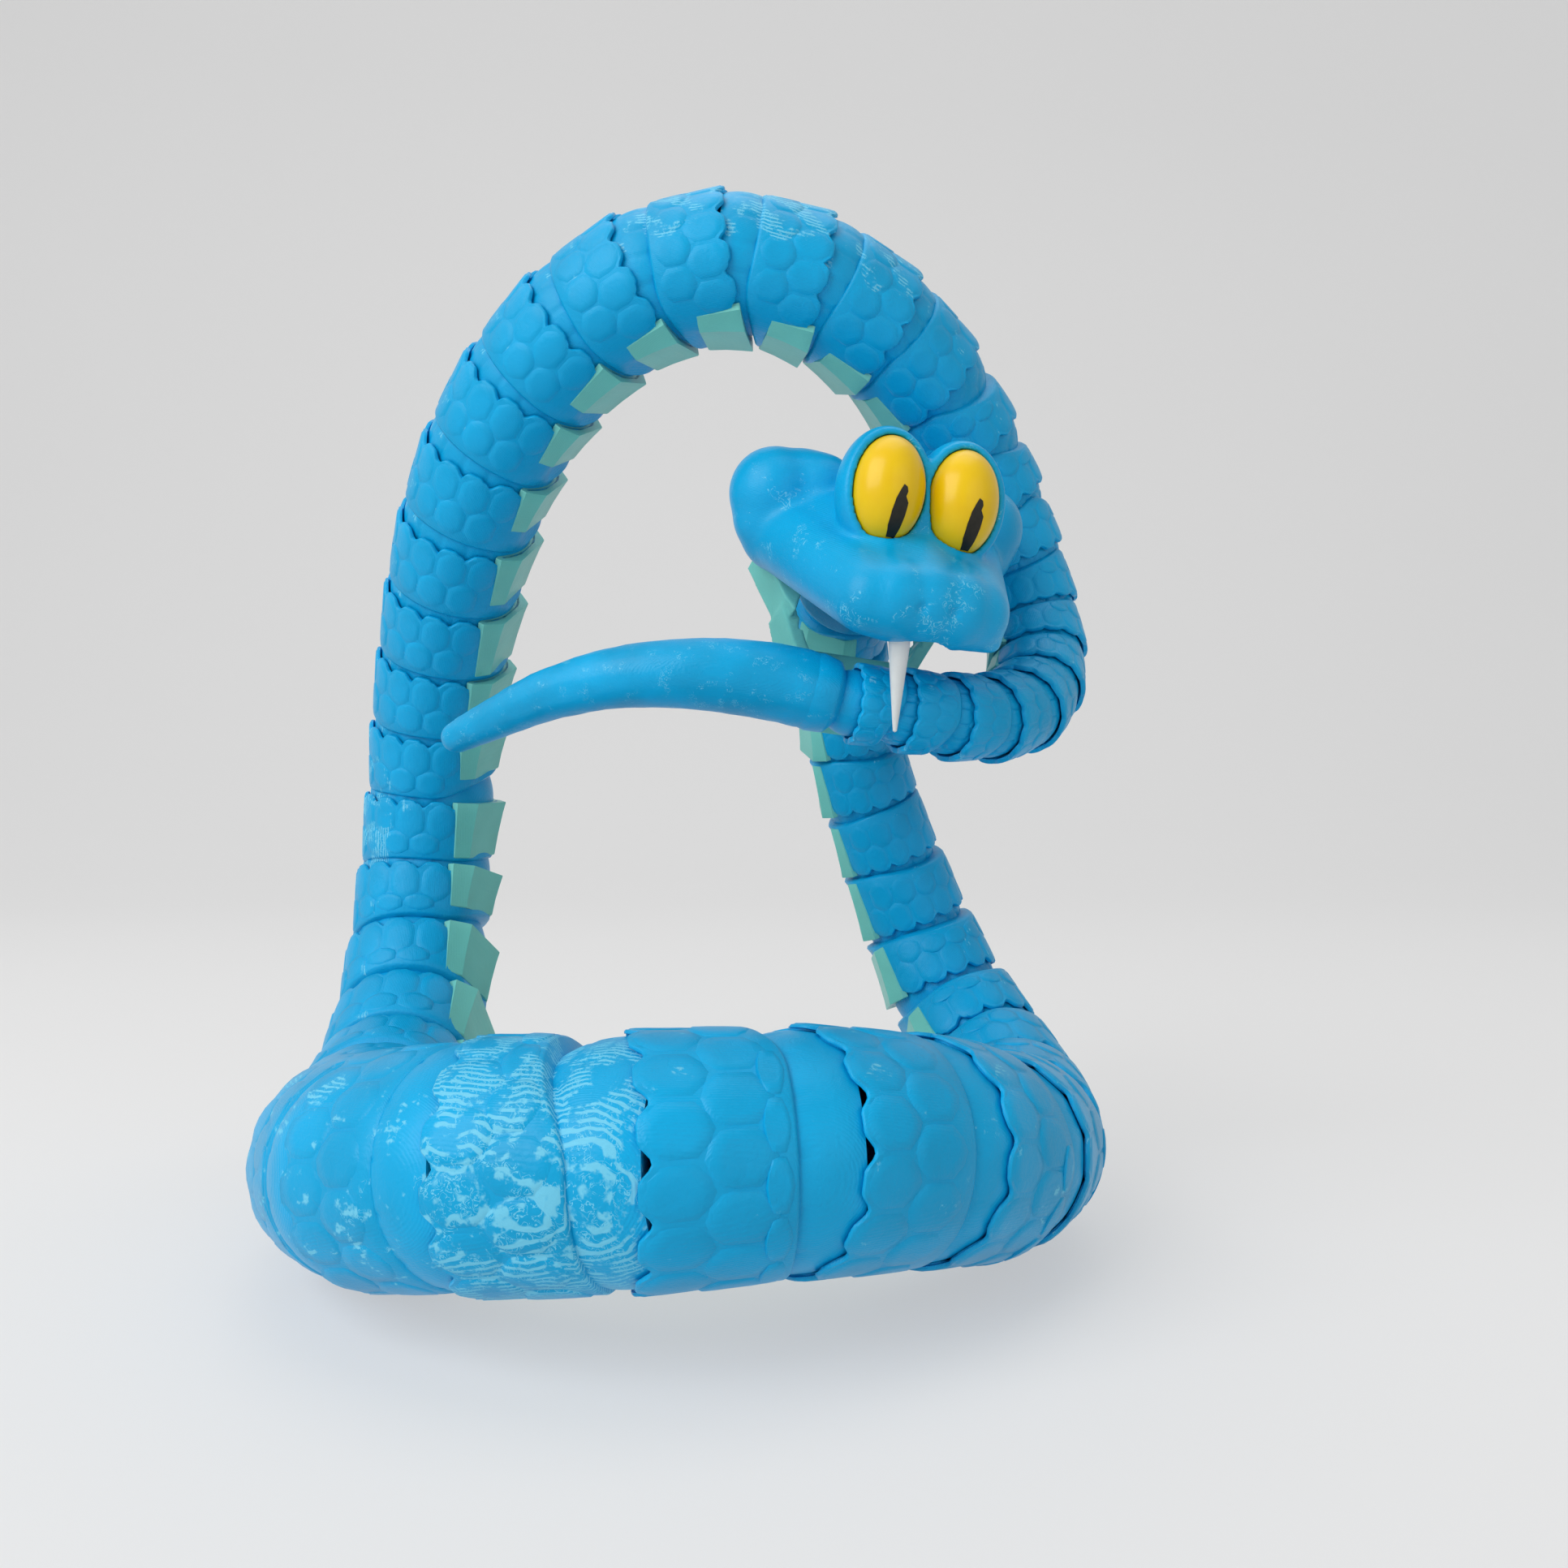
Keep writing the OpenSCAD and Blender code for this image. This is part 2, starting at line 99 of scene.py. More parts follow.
def fade_in(value, none, full):
    """From 0 where the value is at none to 1 where it is at full, with a soft start and end."""
    return add(printed, "ShaderNodeMapRange", {"interpolation_type": "SMOOTHSTEP"},
               {"Value": value, "From Min": none, "From Max": full}).outputs[0]


# Layers are stacked from belly to back, 0.3 mm apart. Where they run nearly level with a surface, their
# edges spread out into wider curling lines.
layers = pattern("ShaderNodeTexWave",
                 {"Scale": 1.05, "Distortion": 1.2, "Detail": 1.0, "Detail Scale": 0.4},
                 bands_direction="Y")
contours = pattern("ShaderNodeTexWave",
                   {"Scale": 0.36, "Distortion": 9.0, "Detail": 2.0, "Detail Scale": 0.4},
                   bands_direction="Y")
wrinkles = pattern("ShaderNodeTexNoise", {"Scale": 0.55, "Detail": 3.0, "Distortion": 1.4})
patches = pattern("ShaderNodeTexNoise", {"Scale": 0.16, "Detail": 4.0, "Roughness": 0.62})
cloud = pattern("ShaderNodeTexNoise", {"Scale": 0.05, "Detail": 2.0})
# A wrinkle is the thin line where the noise crosses its middle value. Where it turns pale, it is partly a
# scuff and partly a painted highlight along the wrinkle.
off_middle = maths(printed, "SUBTRACT", wrinkles, 0.5)
line = fade_in(maths(printed, "ABSOLUTE", off_middle), 0.03, 0.006)
curls = maths(printed, "MULTIPLY", fade_in(contours, 0.45, 0.8), given["Curls"])
# The higher a place's noted share of scuffs and painted highlight, the more patches of pale lines it has.
threshold = maths(printed, "MULTIPLY_ADD", given["Rubbed"], -0.3, 0.74)
patch = fade_in(maths(printed, "SUBTRACT", patches, threshold), 0.0, 0.07)
rubbed = maths(printed, "MULTIPLY", maths(printed, "MAXIMUM", curls, line), patch)
strength = maths(printed, "MULTIPLY", rubbed, 0.55)
tone = add(printed, "ShaderNodeMapRange", {},
           {"Value": cloud, "From Min": 0.3, "From Max": 0.7, "To Min": 0.86, "To Max": 1.06})
toned = add(printed, "ShaderNodeVectorMath", {"operation": "SCALE"},
            {0: given["Base"], "Scale": tone.outputs[0]})
mixed = add(printed, "ShaderNodeMix", {"data_type": "RGBA"},
            {0: strength, 6: toned.outputs[0], 7: given["Pale"]})
roughness = maths(printed, "MULTIPLY_ADD", rubbed, 0.2, 0.36)
uneven = maths(printed, "MULTIPLY_ADD", wrinkles, 0.75, patches)
height = maths(printed, "MULTIPLY_ADD", layers, 0.16, uneven)
add(printed, "NodeGroupOutput", {}, {"Color": mixed.outputs[2], "Roughness": roughness, "Height": height})


def print_finish(name, base, pale, curls, coat, depth):
    """Printed plastic. Depth is that of its lines and wrinkles, in metres."""
    made = bpy.data.materials.new(name)
    made.use_nodes = True
    tree = made.node_tree
    at = add(tree, "ShaderNodeAttribute", {"attribute_name": "print_at"}, {})
    # How pale each point is painted: partly scuffs, partly painted highlight.
    scuff_and_highlight_amount = add(tree, "ShaderNodeAttribute", {"attribute_name": "rubbed"}, {})
    body = add(tree, "ShaderNodeGroup", {"node_tree": printed},
               {"At": at.outputs["Vector"], "Base": base, "Pale": pale, "Rubbed": scuff_and_highlight_amount.outputs["Fac"],
                "Curls": curls}).outputs
    bump = add(tree, "ShaderNodeBump", {}, {"Height": body["Height"], "Strength": 0.5, "Distance": depth})
    fill(tree, tree.nodes["Principled BSDF"], {
        "Base Color": body["Color"], "Roughness": body["Roughness"], "Normal": bump.outputs["Normal"],
        "Specular IOR Level": 0.2, "Coat Weight": coat, "Coat Roughness": 0.22})
    return made


# Pale colours of the scuffs and painted highlights on each plastic.
blue, scuff_and_highlight_blue = (0.001, 0.41, 0.77, 1.0), (0.3, 0.8, 0.95, 1.0)
mint, scuff_and_highlight_mint = (0.2, 0.68, 0.6, 1.0), (0.5, 0.9, 0.85, 1.0)
blue_plastic = print_finish("Blue print", blue, scuff_and_highlight_blue, curls=1.0, coat=0.05, depth=0.0003)
smooth_blue_plastic = print_finish("Smooth blue print", blue, scuff_and_highlight_blue, curls=0.0, coat=0.08,
                                   depth=0.00025)
mint_plastic = print_finish("Mint print", mint, scuff_and_highlight_mint, curls=0.0, coat=0.05, depth=0.0002)

# The body links. Each is one blue print: a round dome, marked by worn scales, that turns inside the link
# ahead, then a plain band and rows of raised scales that end in a notched rim. The ball of the next
# joint stands on its post in the hollow behind.


def closed_skin(name, rings, first, last):
    """Closed mesh from rings of points between two poles. Rings run from the front, along the outside."""
    count, turns = rings.shape[0], rings.shape[1]
    points = np.vstack([first[None, :], rings.reshape(-1, 3), last[None, :]])
    j = np.arange(turns)
    following = (j + 1) % turns
    faces = [(0, int(1 + a), int(1 + b)) for a, b in zip(j, following)]
    for k in range(count - 1):
        here, behind = 1 + k * turns, 1 + (k + 1) * turns
        faces += [(int(here + a), int(behind + a), int(behind + b), int(here + b))
                  for a, b in zip(j, following)]
    end = 1 + (count - 1) * turns
    faces += [(int(end + b), int(end + a), len(points) - 1) for a, b in zip(j, following)]
    made = bpy.data.meshes.new(name)
    made.from_pydata(points.tolist(), [], faces)
    made.validate()
    return made


def note(mesh, name, values, kind="FLOAT"):
    """Notes a value for each point of the mesh, under a name."""
    noted = mesh.attributes.get(name) or mesh.attributes.new(name, kind, "POINT")
    noted.data.foreach_set("value" if kind == "FLOAT" else "vector", values)


def keep_places(mesh, rubbed, grain=1.0):
    """Notes each point's place in the piece's own frame, in mm by its grain, and its pale scuffs and painted
    highlight.
    """
    places = np.empty(len(mesh.vertices) * 3)
    mesh.vertices.foreach_get("co", places)
    note(mesh, "print_at", (places * 1000 * grain).astype(np.float32), "FLOAT_VECTOR")
    note(mesh, "rubbed", np.asarray(rubbed(places.reshape(-1, 3)), np.float32))


def shade(mesh, angle):
    mesh.shade_smooth()
    mesh.set_sharp_from_angle(angle=math.radians(angle))


def frame_at(place, x, y, z):
    """Frame at a place, from the directions of its axes."""
    return Matrix.Translation(place) @ Matrix(list(zip(x, y, z))).to_4x4()


joint_places = [Vector(j["pos_m"]) for j in frame["joints"]]
joint_axes = [Vector(j["axis"]).normalized() for j in frame["joints"]]
joint_ranges = [j["range_deg"] for j in frame["joints"]]
joint_children = [j["child"] for j in frame["joints"]]
link_count = len(joint_places) - 1
link_axes = [(joint_places[k] - joint_places[k + 1]).normalized() for k in range(link_count)]
# The rear corners of a belly plate lie farthest out, at this share of the link's girth radius.
corner_share = 1.1114


def link_frame(k):
    """Girth radius and frame of link k, counted from 0, read from the corners of its belly plate."""
    mesh = frame["nodes"]["link_%d" % (k + 1)].data
    co = np.empty(len(mesh.vertices) * 3)
    mesh.vertices.foreach_get("co", co)
    co = co.reshape(-1, 3) - np.array(joint_places[k])
    z = np.array(link_axes[k])
    out = co - np.outer(co @ z, z)
    far = np.linalg.norm(out, axis=1)
    corners = out[far > far.max() * 0.997]
    belly = corners.mean(axis=0)
    y = -belly / np.linalg.norm(belly)
    y = y - (y @ z) * z
    y = y / np.linalg.norm(y)
    return far.max() / corner_share, frame_at(joint_places[k], np.cross(y, z), y, z)


link_frames = [link_frame(k) for k in range(link_count)]
# The head looks down and a little to the right of the view. Its neck skirt leans back from that.
yaw, pitch, roll, neck_tilt = (math.radians(turn) for turn in (14, 20, 7, 45))
flat = Vector((math.cos(yaw), math.sin(yaw), 0))
nose = Vector((math.sin(yaw) * math.cos(pitch), -math.cos(yaw) * math.cos(pitch), -math.sin(pitch)))
crown = nose.cross(flat)
head_x = flat * math.cos(roll) - crown * math.sin(roll)
head_y = crown * math.cos(roll) + flat * math.sin(roll)
head_place = frame_at(joint_places[0], head_x, head_y, nose)
neck_axis = head_place.to_3x3() @ Vector((0, math.sin(neck_tilt), math.cos(neck_tilt)))


def reach_back(k, azimuths):
    """How far behind joint k's middle the rim ahead comes, in degrees, at each direction round link k."""
    ahead_axis = link_axes[k - 1] if k else neck_axis
    frame_k = link_frames[k][1].to_3x3()
    z = frame_k.col[2]
    most = np.full(len(azimuths), -90.0)
    low, high = joint_ranges[k]
    for t in np.linspace(low, high, 9):
        turned = t if joint_children[k] != "link_%d" % (k + 1) else -t
        axis = Matrix.Rotation(math.radians(turned), 3, joint_axes[k]) @ ahead_axis
        side = np.array([axis.dot(frame_k.col[0]), axis.dot(frame_k.col[1])])
        across = np.cos(azimuths) * side[0] + np.sin(azimuths) * side[1]
        most = np.maximum(most, np.degrees(np.arctan2(across, axis.dot(z))))
    return most


# One scale, for a link of radius 1. It is a rounded hexagon, bent to the link, with a thin groove round
# it. It stands up a little at its rear tip. Corners are given in degrees round and radii along the link.
scale_outline = [(0, -0.3), (6.4, -0.262), (11.8, -0.17), (12.8, -0.09), (12.8, 0.13), (6.6, 0.24),
                 (0, 0.29), (-6.6, 0.24), (-12.8, 0.13), (-12.8, -0.09), (-11.8, -0.17), (-6.4, -0.262)]
scale_half, tip_lift = 0.3, 0.026
# From the sunk base up to the flat top: the ring's share of the outline, and how far it is raised.
scale_levels = [(1.0, -0.06), (1.0, -0.014), (0.88, 0.005), (0.55, 0.007)]
scale_points = []
for share, raised in scale_levels:
    for turn, along in scale_outline:
        lift = 1 + raised + tip_lift * (scale_half - along * share) / (2 * scale_half)
        a = math.radians(turn * share)
        scale_points.append((lift * math.cos(a), lift * math.sin(a), along * share))
scale_points.append((1.021, 0.0, 0.0))
corner_count = len(scale_outline)
scale_faces = [tuple(range(corner_count - 1, -1, -1))]
for level in range(len(scale_levels) - 1):
    for j in range(corner_count):
        a, b = level * corner_count + j, level * corner_count + (j + 1) % corner_count
        scale_faces.append((a, b, b + corner_count, a + corner_count))
top_ring, top_point = len(scale_points) - 1 - corner_count, len(scale_points) - 1
scale_faces += [(top_ring + j, top_ring + (j + 1) % corner_count, top_point) for j in range(corner_count)]
scale_mesh = bpy.data.meshes.new("scale")
scale_mesh.from_pydata(scale_points, [], scale_faces)
scale_mesh.shade_smooth()
one_scale = bpy.data.objects.new("scale", scale_mesh)


def noted(tree, name):
    """The value that each point has noted under a name."""
    return add(tree, "GeometryNodeInputNamedAttribute", {"data_type": "FLOAT"},
               {"Name": name}).outputs["Attribute"]


def end_tree(tree, geometry, plastic, result):
    made_real = add(tree, "GeometryNodeRealizeInstances", {}, {"Geometry": geometry})
    painted = add(tree, "GeometryNodeSetMaterial", {},
                  {"Geometry": made_real.outputs[0], "Material": plastic})
    add(tree, "NodeGroupOutput", {}, {result: painted.outputs[0]})


# Sets scales on their places and joins them with the shell under them.
sow = bpy.data.node_groups.new("Scales on a link", "GeometryNodeTree")
give_sockets(sow, "INPUT", {"Places": "Geometry", "Scale": "Object", "Shell": "Object",
                            "Plastic": "Material", "Unevenness": "Float"})
give_sockets(sow, "OUTPUT", {"Link": "Geometry"})
sow_in = sow.nodes.new("NodeGroupInput").outputs
about = add(sow, "ShaderNodeCombineXYZ", {}, {"Z": noted(sow, "turn")})
least = maths(sow, "SUBTRACT", 1.0, sow_in["Unevenness"])
uneven_size = add(sow, "FunctionNodeRandomValue", {"data_type": "FLOAT"}, {2: least, 3: 1.0, "Seed": 7})
full_size = maths(sow, "MULTIPLY", noted(sow, "size"), uneven_size.outputs[1])
full_length = maths(sow, "MULTIPLY", full_size, noted(sow, "length"))
measures = add(sow, "ShaderNodeCombineXYZ", {}, {"X": full_size, "Y": full_size, "Z": full_length})
scale_in = add(sow, "GeometryNodeObjectInfo", {}, {"Object": sow_in["Scale"]})
set_down = add(sow, "GeometryNodeInstanceOnPoints", {},
               {"Points": sow_in["Places"], "Instance": scale_in.outputs["Geometry"],
                "Rotation": about.outputs[0], "Scale": measures.outputs[0]})
shell_in = add(sow, "GeometryNodeObjectInfo", {}, {"Object": sow_in["Shell"]})
together = sow.nodes.new("GeometryNodeJoinGeometry")
sow.links.new(set_down.outputs[0], together.inputs[0])
sow.links.new(shell_in.outputs["Geometry"], together.inputs[0])
end_tree(sow, together.outputs[0], sow_in["Plastic"], "Link")


def into_scene(name, data):
    made = bpy.data.objects.new(name, data)
    bpy.context.scene.collection.objects.link(made)
    return made


def clear(*objects):
    for scrap in objects:
        bpy.data.objects.remove(scrap)


def run_nodes(mesh, tree, values):
    """Plain mesh that the tree makes from mesh. Inputs are set by name before the first evaluation."""
    obj = into_scene(mesh.name, mesh)
    modifier = obj.modifiers.new("shape", "NODES")
    modifier.node_group = tree
    for item in tree.interface.items_tree:
        if item.item_type == "SOCKET" and item.in_out == "INPUT" and item.name in values:
            modifier[item.identifier] = values[item.name]
    graph = bpy.context.evaluated_depsgraph_get()
    made = bpy.data.meshes.new_from_object(obj.evaluated_get(graph), depsgraph=graph)
    clear(obj)
    return made


def put(name, mesh, body, slot, *replaced):
    made = into_scene(name, mesh)
    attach(made, body)
    if replaced:
        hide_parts(*replaced)


# The directions round a link, and how many degrees each is from the belly's middle.
degrees_apart = 2.5
around = np.radians(np.arange(0, 360, degrees_apart))
from_belly = np.abs((np.degrees(around) - 270 + 180) % 360 - 180)


def ring(radius, depth):
    radius = np.broadcast_to(radius, around.shape)
    depth = np.broadcast_to(depth, around.shape)
    return np.stack([radius * np.cos(around), radius * np.sin(around), depth], axis=1)


# Walls, gaps and bevels of the chain in metres. A ball is given as a share of the girth radius, and its
# post as a share of the ball. Then the angles of the dome's front edge at the socket's middle, and of the
# slope of its mouth.
skirt_wall, bulkhead, dome_gap, ball_gap, bevel = 0.0015, 0.0016, 0.0006, 0.0003, 0.0004
ball_share, post_share = 0.26, 0.45
dome_front, mouth = math.radians(26.5), math.radians(58)


def front_rings(dome, ball):
    """Rings from the floor of the ball's socket, out through its mouth, to the dome's front edge."""
    socket = ball + ball_gap
    front = dome * math.sin(dome_front)
    rows = [(socket * math.sin(math.radians(q)), -socket * math.cos(math.radians(q)))
            for q in (25, 50, 75, 100, 122)]
    rows += [(front * math.tan(mouth), front)]
    rows += [(dome * math.cos(dome_front) - bevel, front)]
    return [ring(r, z) for r, z in rows], np.array([0.0, 0.0, -socket])


# Scales are so many degrees apart, from the first one beside the belly, and their rows are this share of
# the girth radius apart. The rim has a notch between the tips of the last row. The belly has none.
scale_turn, first_scale, scale_row = 26, -40, 0.44
belly_half, notch_half = 37, 9
notch_turn = (np.degrees(around) - 90) % scale_turn - scale_turn / 2
jagged = np.where(from_belly > belly_half,
                  0.5 + 0.5 * np.cos(np.radians(notch_turn * 180 / notch_half)), 0)
jagged = np.where(np.abs(notch_turn) < notch_half, jagged, 0)
# A scale's width and length, and the width of the grooves on the dome, as shares of the girth radius,
# and the grooves' depth in metres. No scale is cut to less than the last share of its length.
scale_width, scale_length, groove_width, groove_depth, shortest = 0.454, 0.58, 0.1, 0.00035, 0.35


def worn_grooves(from_rim):
    """How near each direction's point is to the border between two scales, from 0 to 1. The rows of
    scales run on over the dome, where only their borders are left, as shallow grooves."""
    row_at = (from_rim - scale_half) / scale_row
    column_at = (np.degrees(around) - first_scale) / scale_turn
    far = []
    for step in (-1, 0, 1, 2):
        row = np.floor(row_at) + step
        shift = np.where(row % 2 == 1, 0.5, 0.0)
        for side in (-1, 0, 1):
            column = np.round(column_at + shift) + side - shift
            far.append(np.hypot((column_at - column) * scale_width, (row_at - row) * scale_row))
    far = np.sort(far, axis=0)
    beside_belly = np.clip((from_belly - 48) / 6, 0, 1)
    return np.clip(1 - (far[1] - far[0]) / groove_width, 0, 1) * beside_belly


# The dome reaches back a little past where the rim ahead comes at the joint's limits, within the least
# and the most, in degrees. It ends in a small step up to the band.
past_rim, least_back, most_back = 1.6, 7.0, 29.0
least_step, step_bevel = 0.0001, 0.0006
# Radii of the shell as shares of the girth radius: at the band, at the rim and under a scale. Then those
# of the flat belly: at the band, how much farther out it lies at the rim, and at the rim's edge.
band_share, rim_share, seat_share = 0.935, 0.965, 0.957
flat_at_band, farther_at_rim, flat_at_edge = 0.84, 0.1, 0.94
# The rim's outer edge is rounded by the first, and the rim is nowhere thinner than the second.
rim_round, rim_least = 0.0003, 0.0005
# How strongly each link, counted from 0, is painted with pale lines, partly scuffs and partly painted
# highlight. The one that bulges furthest to the front, on the left of the lower loop, has the most.
scuffs_and_highlights_by_link = {12: 0.32, 13: 0.2, 14: 1.0, 15: 0.55, 16: 0.5, 22: 0.95, 23: 0.6, 31: 0.7, 32: 0.8,
                33: 0.6}
scuffs_and_highlights_elsewhere = 0.4

for k in range(link_count):
    name = "link_%d" % (k + 1)
    girth, place = link_frames[k]
    girth_ahead = link_frames[max(k - 1, 0)][0]
    long = (joint_places[k] - joint_places[k + 1]).length
    dome = girth_ahead - (skirt_wall + dome_gap)
    hollow = girth - skirt_wall
    ball_in, ball_out = ball_share * girth_ahead, ball_share * girth
    behind = np.clip(reach_back(k, around) + past_rim, least_back, most_back)
    # Neighbouring directions take the deepest cut within a few degrees, so that the band stays smooth.
    behind = np.max([np.roll(behind, s) for s in range(-3, 4)], axis=0)
    behind = np.mean([np.roll(behind, s) for s in range(-4, 5)], axis=0)
    band = max(band_share * girth, dome + least_step)
    # How far out a flat belly lies in each direction, for 1 at its middle.
    belly_cut = 1 / np.maximum(np.cos(np.radians(from_belly)), 0.3)
    rings, start = front_rings(dome, ball_in)
    # On the later links the grooves run on farther to the front.
    grooved_to = math.radians(20 if k > 17 else 3)
    for share in np.linspace(0, 1, 19):
        a = dome_front - (dome_front + np.radians(behind)) * share
        grooves = worn_grooves((dome * np.sin(a) + long) / girth) * np.clip((grooved_to - a) / 0.2, 0, 1)
        worn_to = dome - groove_depth * grooves
        rings.append(ring(worn_to * np.cos(a), worn_to * np.sin(a)))
    step_depth = -band * np.tan(np.radians(behind))
    rings.append(ring(band - bevel, step_depth * 0.997))
    shoulder = step_depth - step_bevel
    rings.append(ring(band, shoulder))
    # The last few links, round the tail's coil, have almost smooth rims.
    notch_share = 0.1 if k < 38 else 0.05
    rim = -long + notch_share * girth * jagged
    for share in (0.2, 0.4, 0.6, 0.8, 0.93):
        depth = shoulder + (rim - shoulder) * share
        radius = band + (rim_share * girth - band) * share
        flat_belly = (flat_at_band + farther_at_rim * share) * girth * belly_cut
        rings.append(ring(np.minimum(radius, flat_belly), depth))
    edge = np.minimum(rim_share * girth, flat_at_edge * girth * belly_cut)
    rings.append(ring(edge, rim + rim_round))
    rings.append(ring(edge - rim_round, rim))
    inner = np.sqrt(np.maximum(hollow ** 2 - (rim + long) ** 2, 0))
    inner = np.minimum(inner, edge - rim_least)
    rings.append(ring(inner, rim))
    wall = ball_in + ball_gap + bulkhead
    for share in (0.3, 0.6, 0.8, 1.0):
        depth = rim + (-wall - rim) * share
        round_hollow = np.sqrt(np.maximum(hollow ** 2 - (depth + long) ** 2, 0))
        rings.append(ring(np.minimum(round_hollow, inner), depth))
    post = post_share * ball_out
    rings.append(ring(post, -wall))
    for a in (math.radians(q) for q in (30, 60, 90, 120, 150)):
        if ball_out * math.sin(a) > post or a > math.pi / 2:
            rings.append(ring(ball_out * math.sin(a), -long + ball_out * math.cos(a)))
    skin = closed_skin(name, np.array(rings), start, np.array([0.0, 0.0, -long - ball_out]))
    skin.shade_smooth()
    shell = bpy.data.objects.new("shell", skin)
    # Rows of scales, from the rim forward. Every second row is set half a scale round. The foremost ones
    # are cut short where the band ends, and those that would be too short, or lie on the belly, are left
    # out.
    seats, turns, sizes, lengths = [], [], [], []
    for row in range(3):
        tip = -long + scale_row * row * girth
        for column in range(11):
            seat_turn = first_scale + scale_turn * column - (scale_turn // 2 if row % 2 else 0)
            near = int(round((seat_turn % 360) / degrees_apart)) % len(around)
            length = min(1.0, (shoulder[near] - tip) / (scale_length * girth))
            if seat_turn < -46 or length < shortest:
                continue
            half = scale_half * girth * length
            share = (shoulder[near] - tip - half) / (shoulder[near] + long)
            seats.append((0.0, 0.0, tip + half))
            turns.append(math.radians(seat_turn))
            sizes.append(band + (seat_share * girth - band) * share)
            lengths.append(length)
    seat_mesh = bpy.data.meshes.new("places")
    seat_mesh.from_pydata(seats, [], [])
    note(seat_mesh, "turn", turns)
    note(seat_mesh, "size", sizes)
    note(seat_mesh, "length", lengths)
    shape = run_nodes(seat_mesh, sow, {"Scale": one_scale, "Shell": shell, "Plastic": blue_plastic,
                                       "Unevenness": 0.006})
    # Each carries the most pale lines on its back and the fewest on its belly, partly scuffs and partly
    # painted highlight.
    scuff_and_highlight_amount = scuffs_and_highlights_by_link.get(k, scuffs_and_highlights_elsewhere)
    keep_places(shape, lambda p: scuff_and_highlight_amount * np.clip((p[:, 1] / girth + 0.5) / 0.8, 0.2, 1))
    shade(shape, 50)
    shape.transform(place)
    put(name + "_shell", shape, name, "blue_print", name)
    clear(shell)
clear(one_scale)

# The belly plates. Each link carries a flat mint plate with bevelled sides, printed in one with it. It
# slopes out to its rear end, so that it steps up from the plate behind it.


def evenly(share):
    return lambda places: np.full(len(places), share)


# The plate's cross-section in girth radii: across, and how far out from the link's middle. Only what
# lies farther out than the bed is sloped.
plate_section = [(-0.6, 0.70), (-0.612, 0.79), (-0.598, 0.80), (-0.44, 0.965), (-0.40, 1.0), (-0.2, 1.0),
                 (0.0, 1.0), (0.2, 1.0), (0.40, 1.0), (0.44, 0.965), (0.598, 0.80), (0.612, 0.79),
                 (0.6, 0.70), (0.3, 0.70), (0.0, 0.70), (-0.3, 0.70)]
bed, plate_depth = 0.72, 0.28
# Its front end is narrower and lower, and its rear end flares out. It begins past the reach of the rim
# ahead and past the dome's step, by so many degrees.
front_width, widening, front_height, rising, rear_flare = 0.92, 0.08, 0.9, 0.075, 0.03
plate_past_rim, plate_past_step = 1.5, 1
under = np.radians(np.arange(232, 309, 4))
for k in range(link_count):
    name = "link_%d" % (k + 1)
    girth, place = link_frames[k]
    long = (joint_places[k] - joint_places[k + 1]).length
    most = min(max(reach_back(k, under).max(), least_back) + plate_past_rim, most_back)
    front = -girth * math.tan(math.radians(most + plate_past_step))
    # Stations along the plate: depth, and the share of the full section there.
    stations = [(front, 0.97), (front - 0.0003, 1.0), (front - (long + front) * 0.4, 1.0),
                (-long + 0.16 * girth, 1.0), (-long + 0.0003, 1.0), (-long, 0.985)]
    rings = []
    for depth, grow in stations:
        rise = (depth - front) / (-long - front)
        flare = rear_flare * max(0.0, 1 - (depth + long) / (0.3 * girth))
        wide = front_width + widening * min(1.0, max(0.0, rise)) + flare
        drop = front_height + rising * rise + flare
        rings.append([(x * girth * grow * wide,
                       -girth * (bed + (d - bed) * grow * (drop - bed) / plate_depth) if d > bed
                       else -girth * d, depth) for x, d in plate_section])
    rings = np.array([r[::-1] for r in rings])
    middle = np.array([0.0, -0.8 * girth, 0.0])
    skin = closed_skin(name + "_plate", rings, middle + [0, 0, front], middle + [0, 0, -long])
    keep_places(skin, evenly(0.15))
    shade(skin, 28)
    skin.transform(place)
    skin.materials.append(mint_plastic)
    put(name + "_plate", skin, name, "mint_print")

# The tail piece. One long smooth blue bow that tapers to a blunt tip, printed whole with the dome that
# turns inside the last link.
tail_joint = joint_places[-1]
mm = 0.001
# Points of the bow in mm from the joint, and its thickness there, from 1 down to that of the tip.
tail_rows = [(0, 0, 0, 1), (-15, -3, 4, 0.98), (-33, -5, 6, 0.9), (-51, -3, 5.5, 0.78),
             (-68, 3, 2, 0.66), (-81, 9, -3, 0.54), (-91, 14, -7, 0.43)]
tail_rows = [np.array(r, float) for r in tail_rows]
ends = [2 * tail_rows[0] - tail_rows[1]] + tail_rows + [2 * tail_rows[-1] - tail_rows[-2]]
bow = []
for a, b, c, d in zip(ends, ends[1:], ends[2:], ends[3:]):
    for t in np.arange(0, 1, 0.125):
        bow.append(0.5 * (2 * b + (c - a) * t + (2 * a - 5 * b + 4 * c - d) * t * t
                          + (3 * b - a - 3 * c + d) * t ** 3))
bow.append(tail_rows[-1])
bow = np.array(bow)
thickness_at_tip, thickness_range, tip_girth, more_at_root = 0.43, 0.57, 3.7, 5.1
bow_girth = tip_girth + more_at_root * (bow[:, 3] - thickness_at_tip) / thickness_range
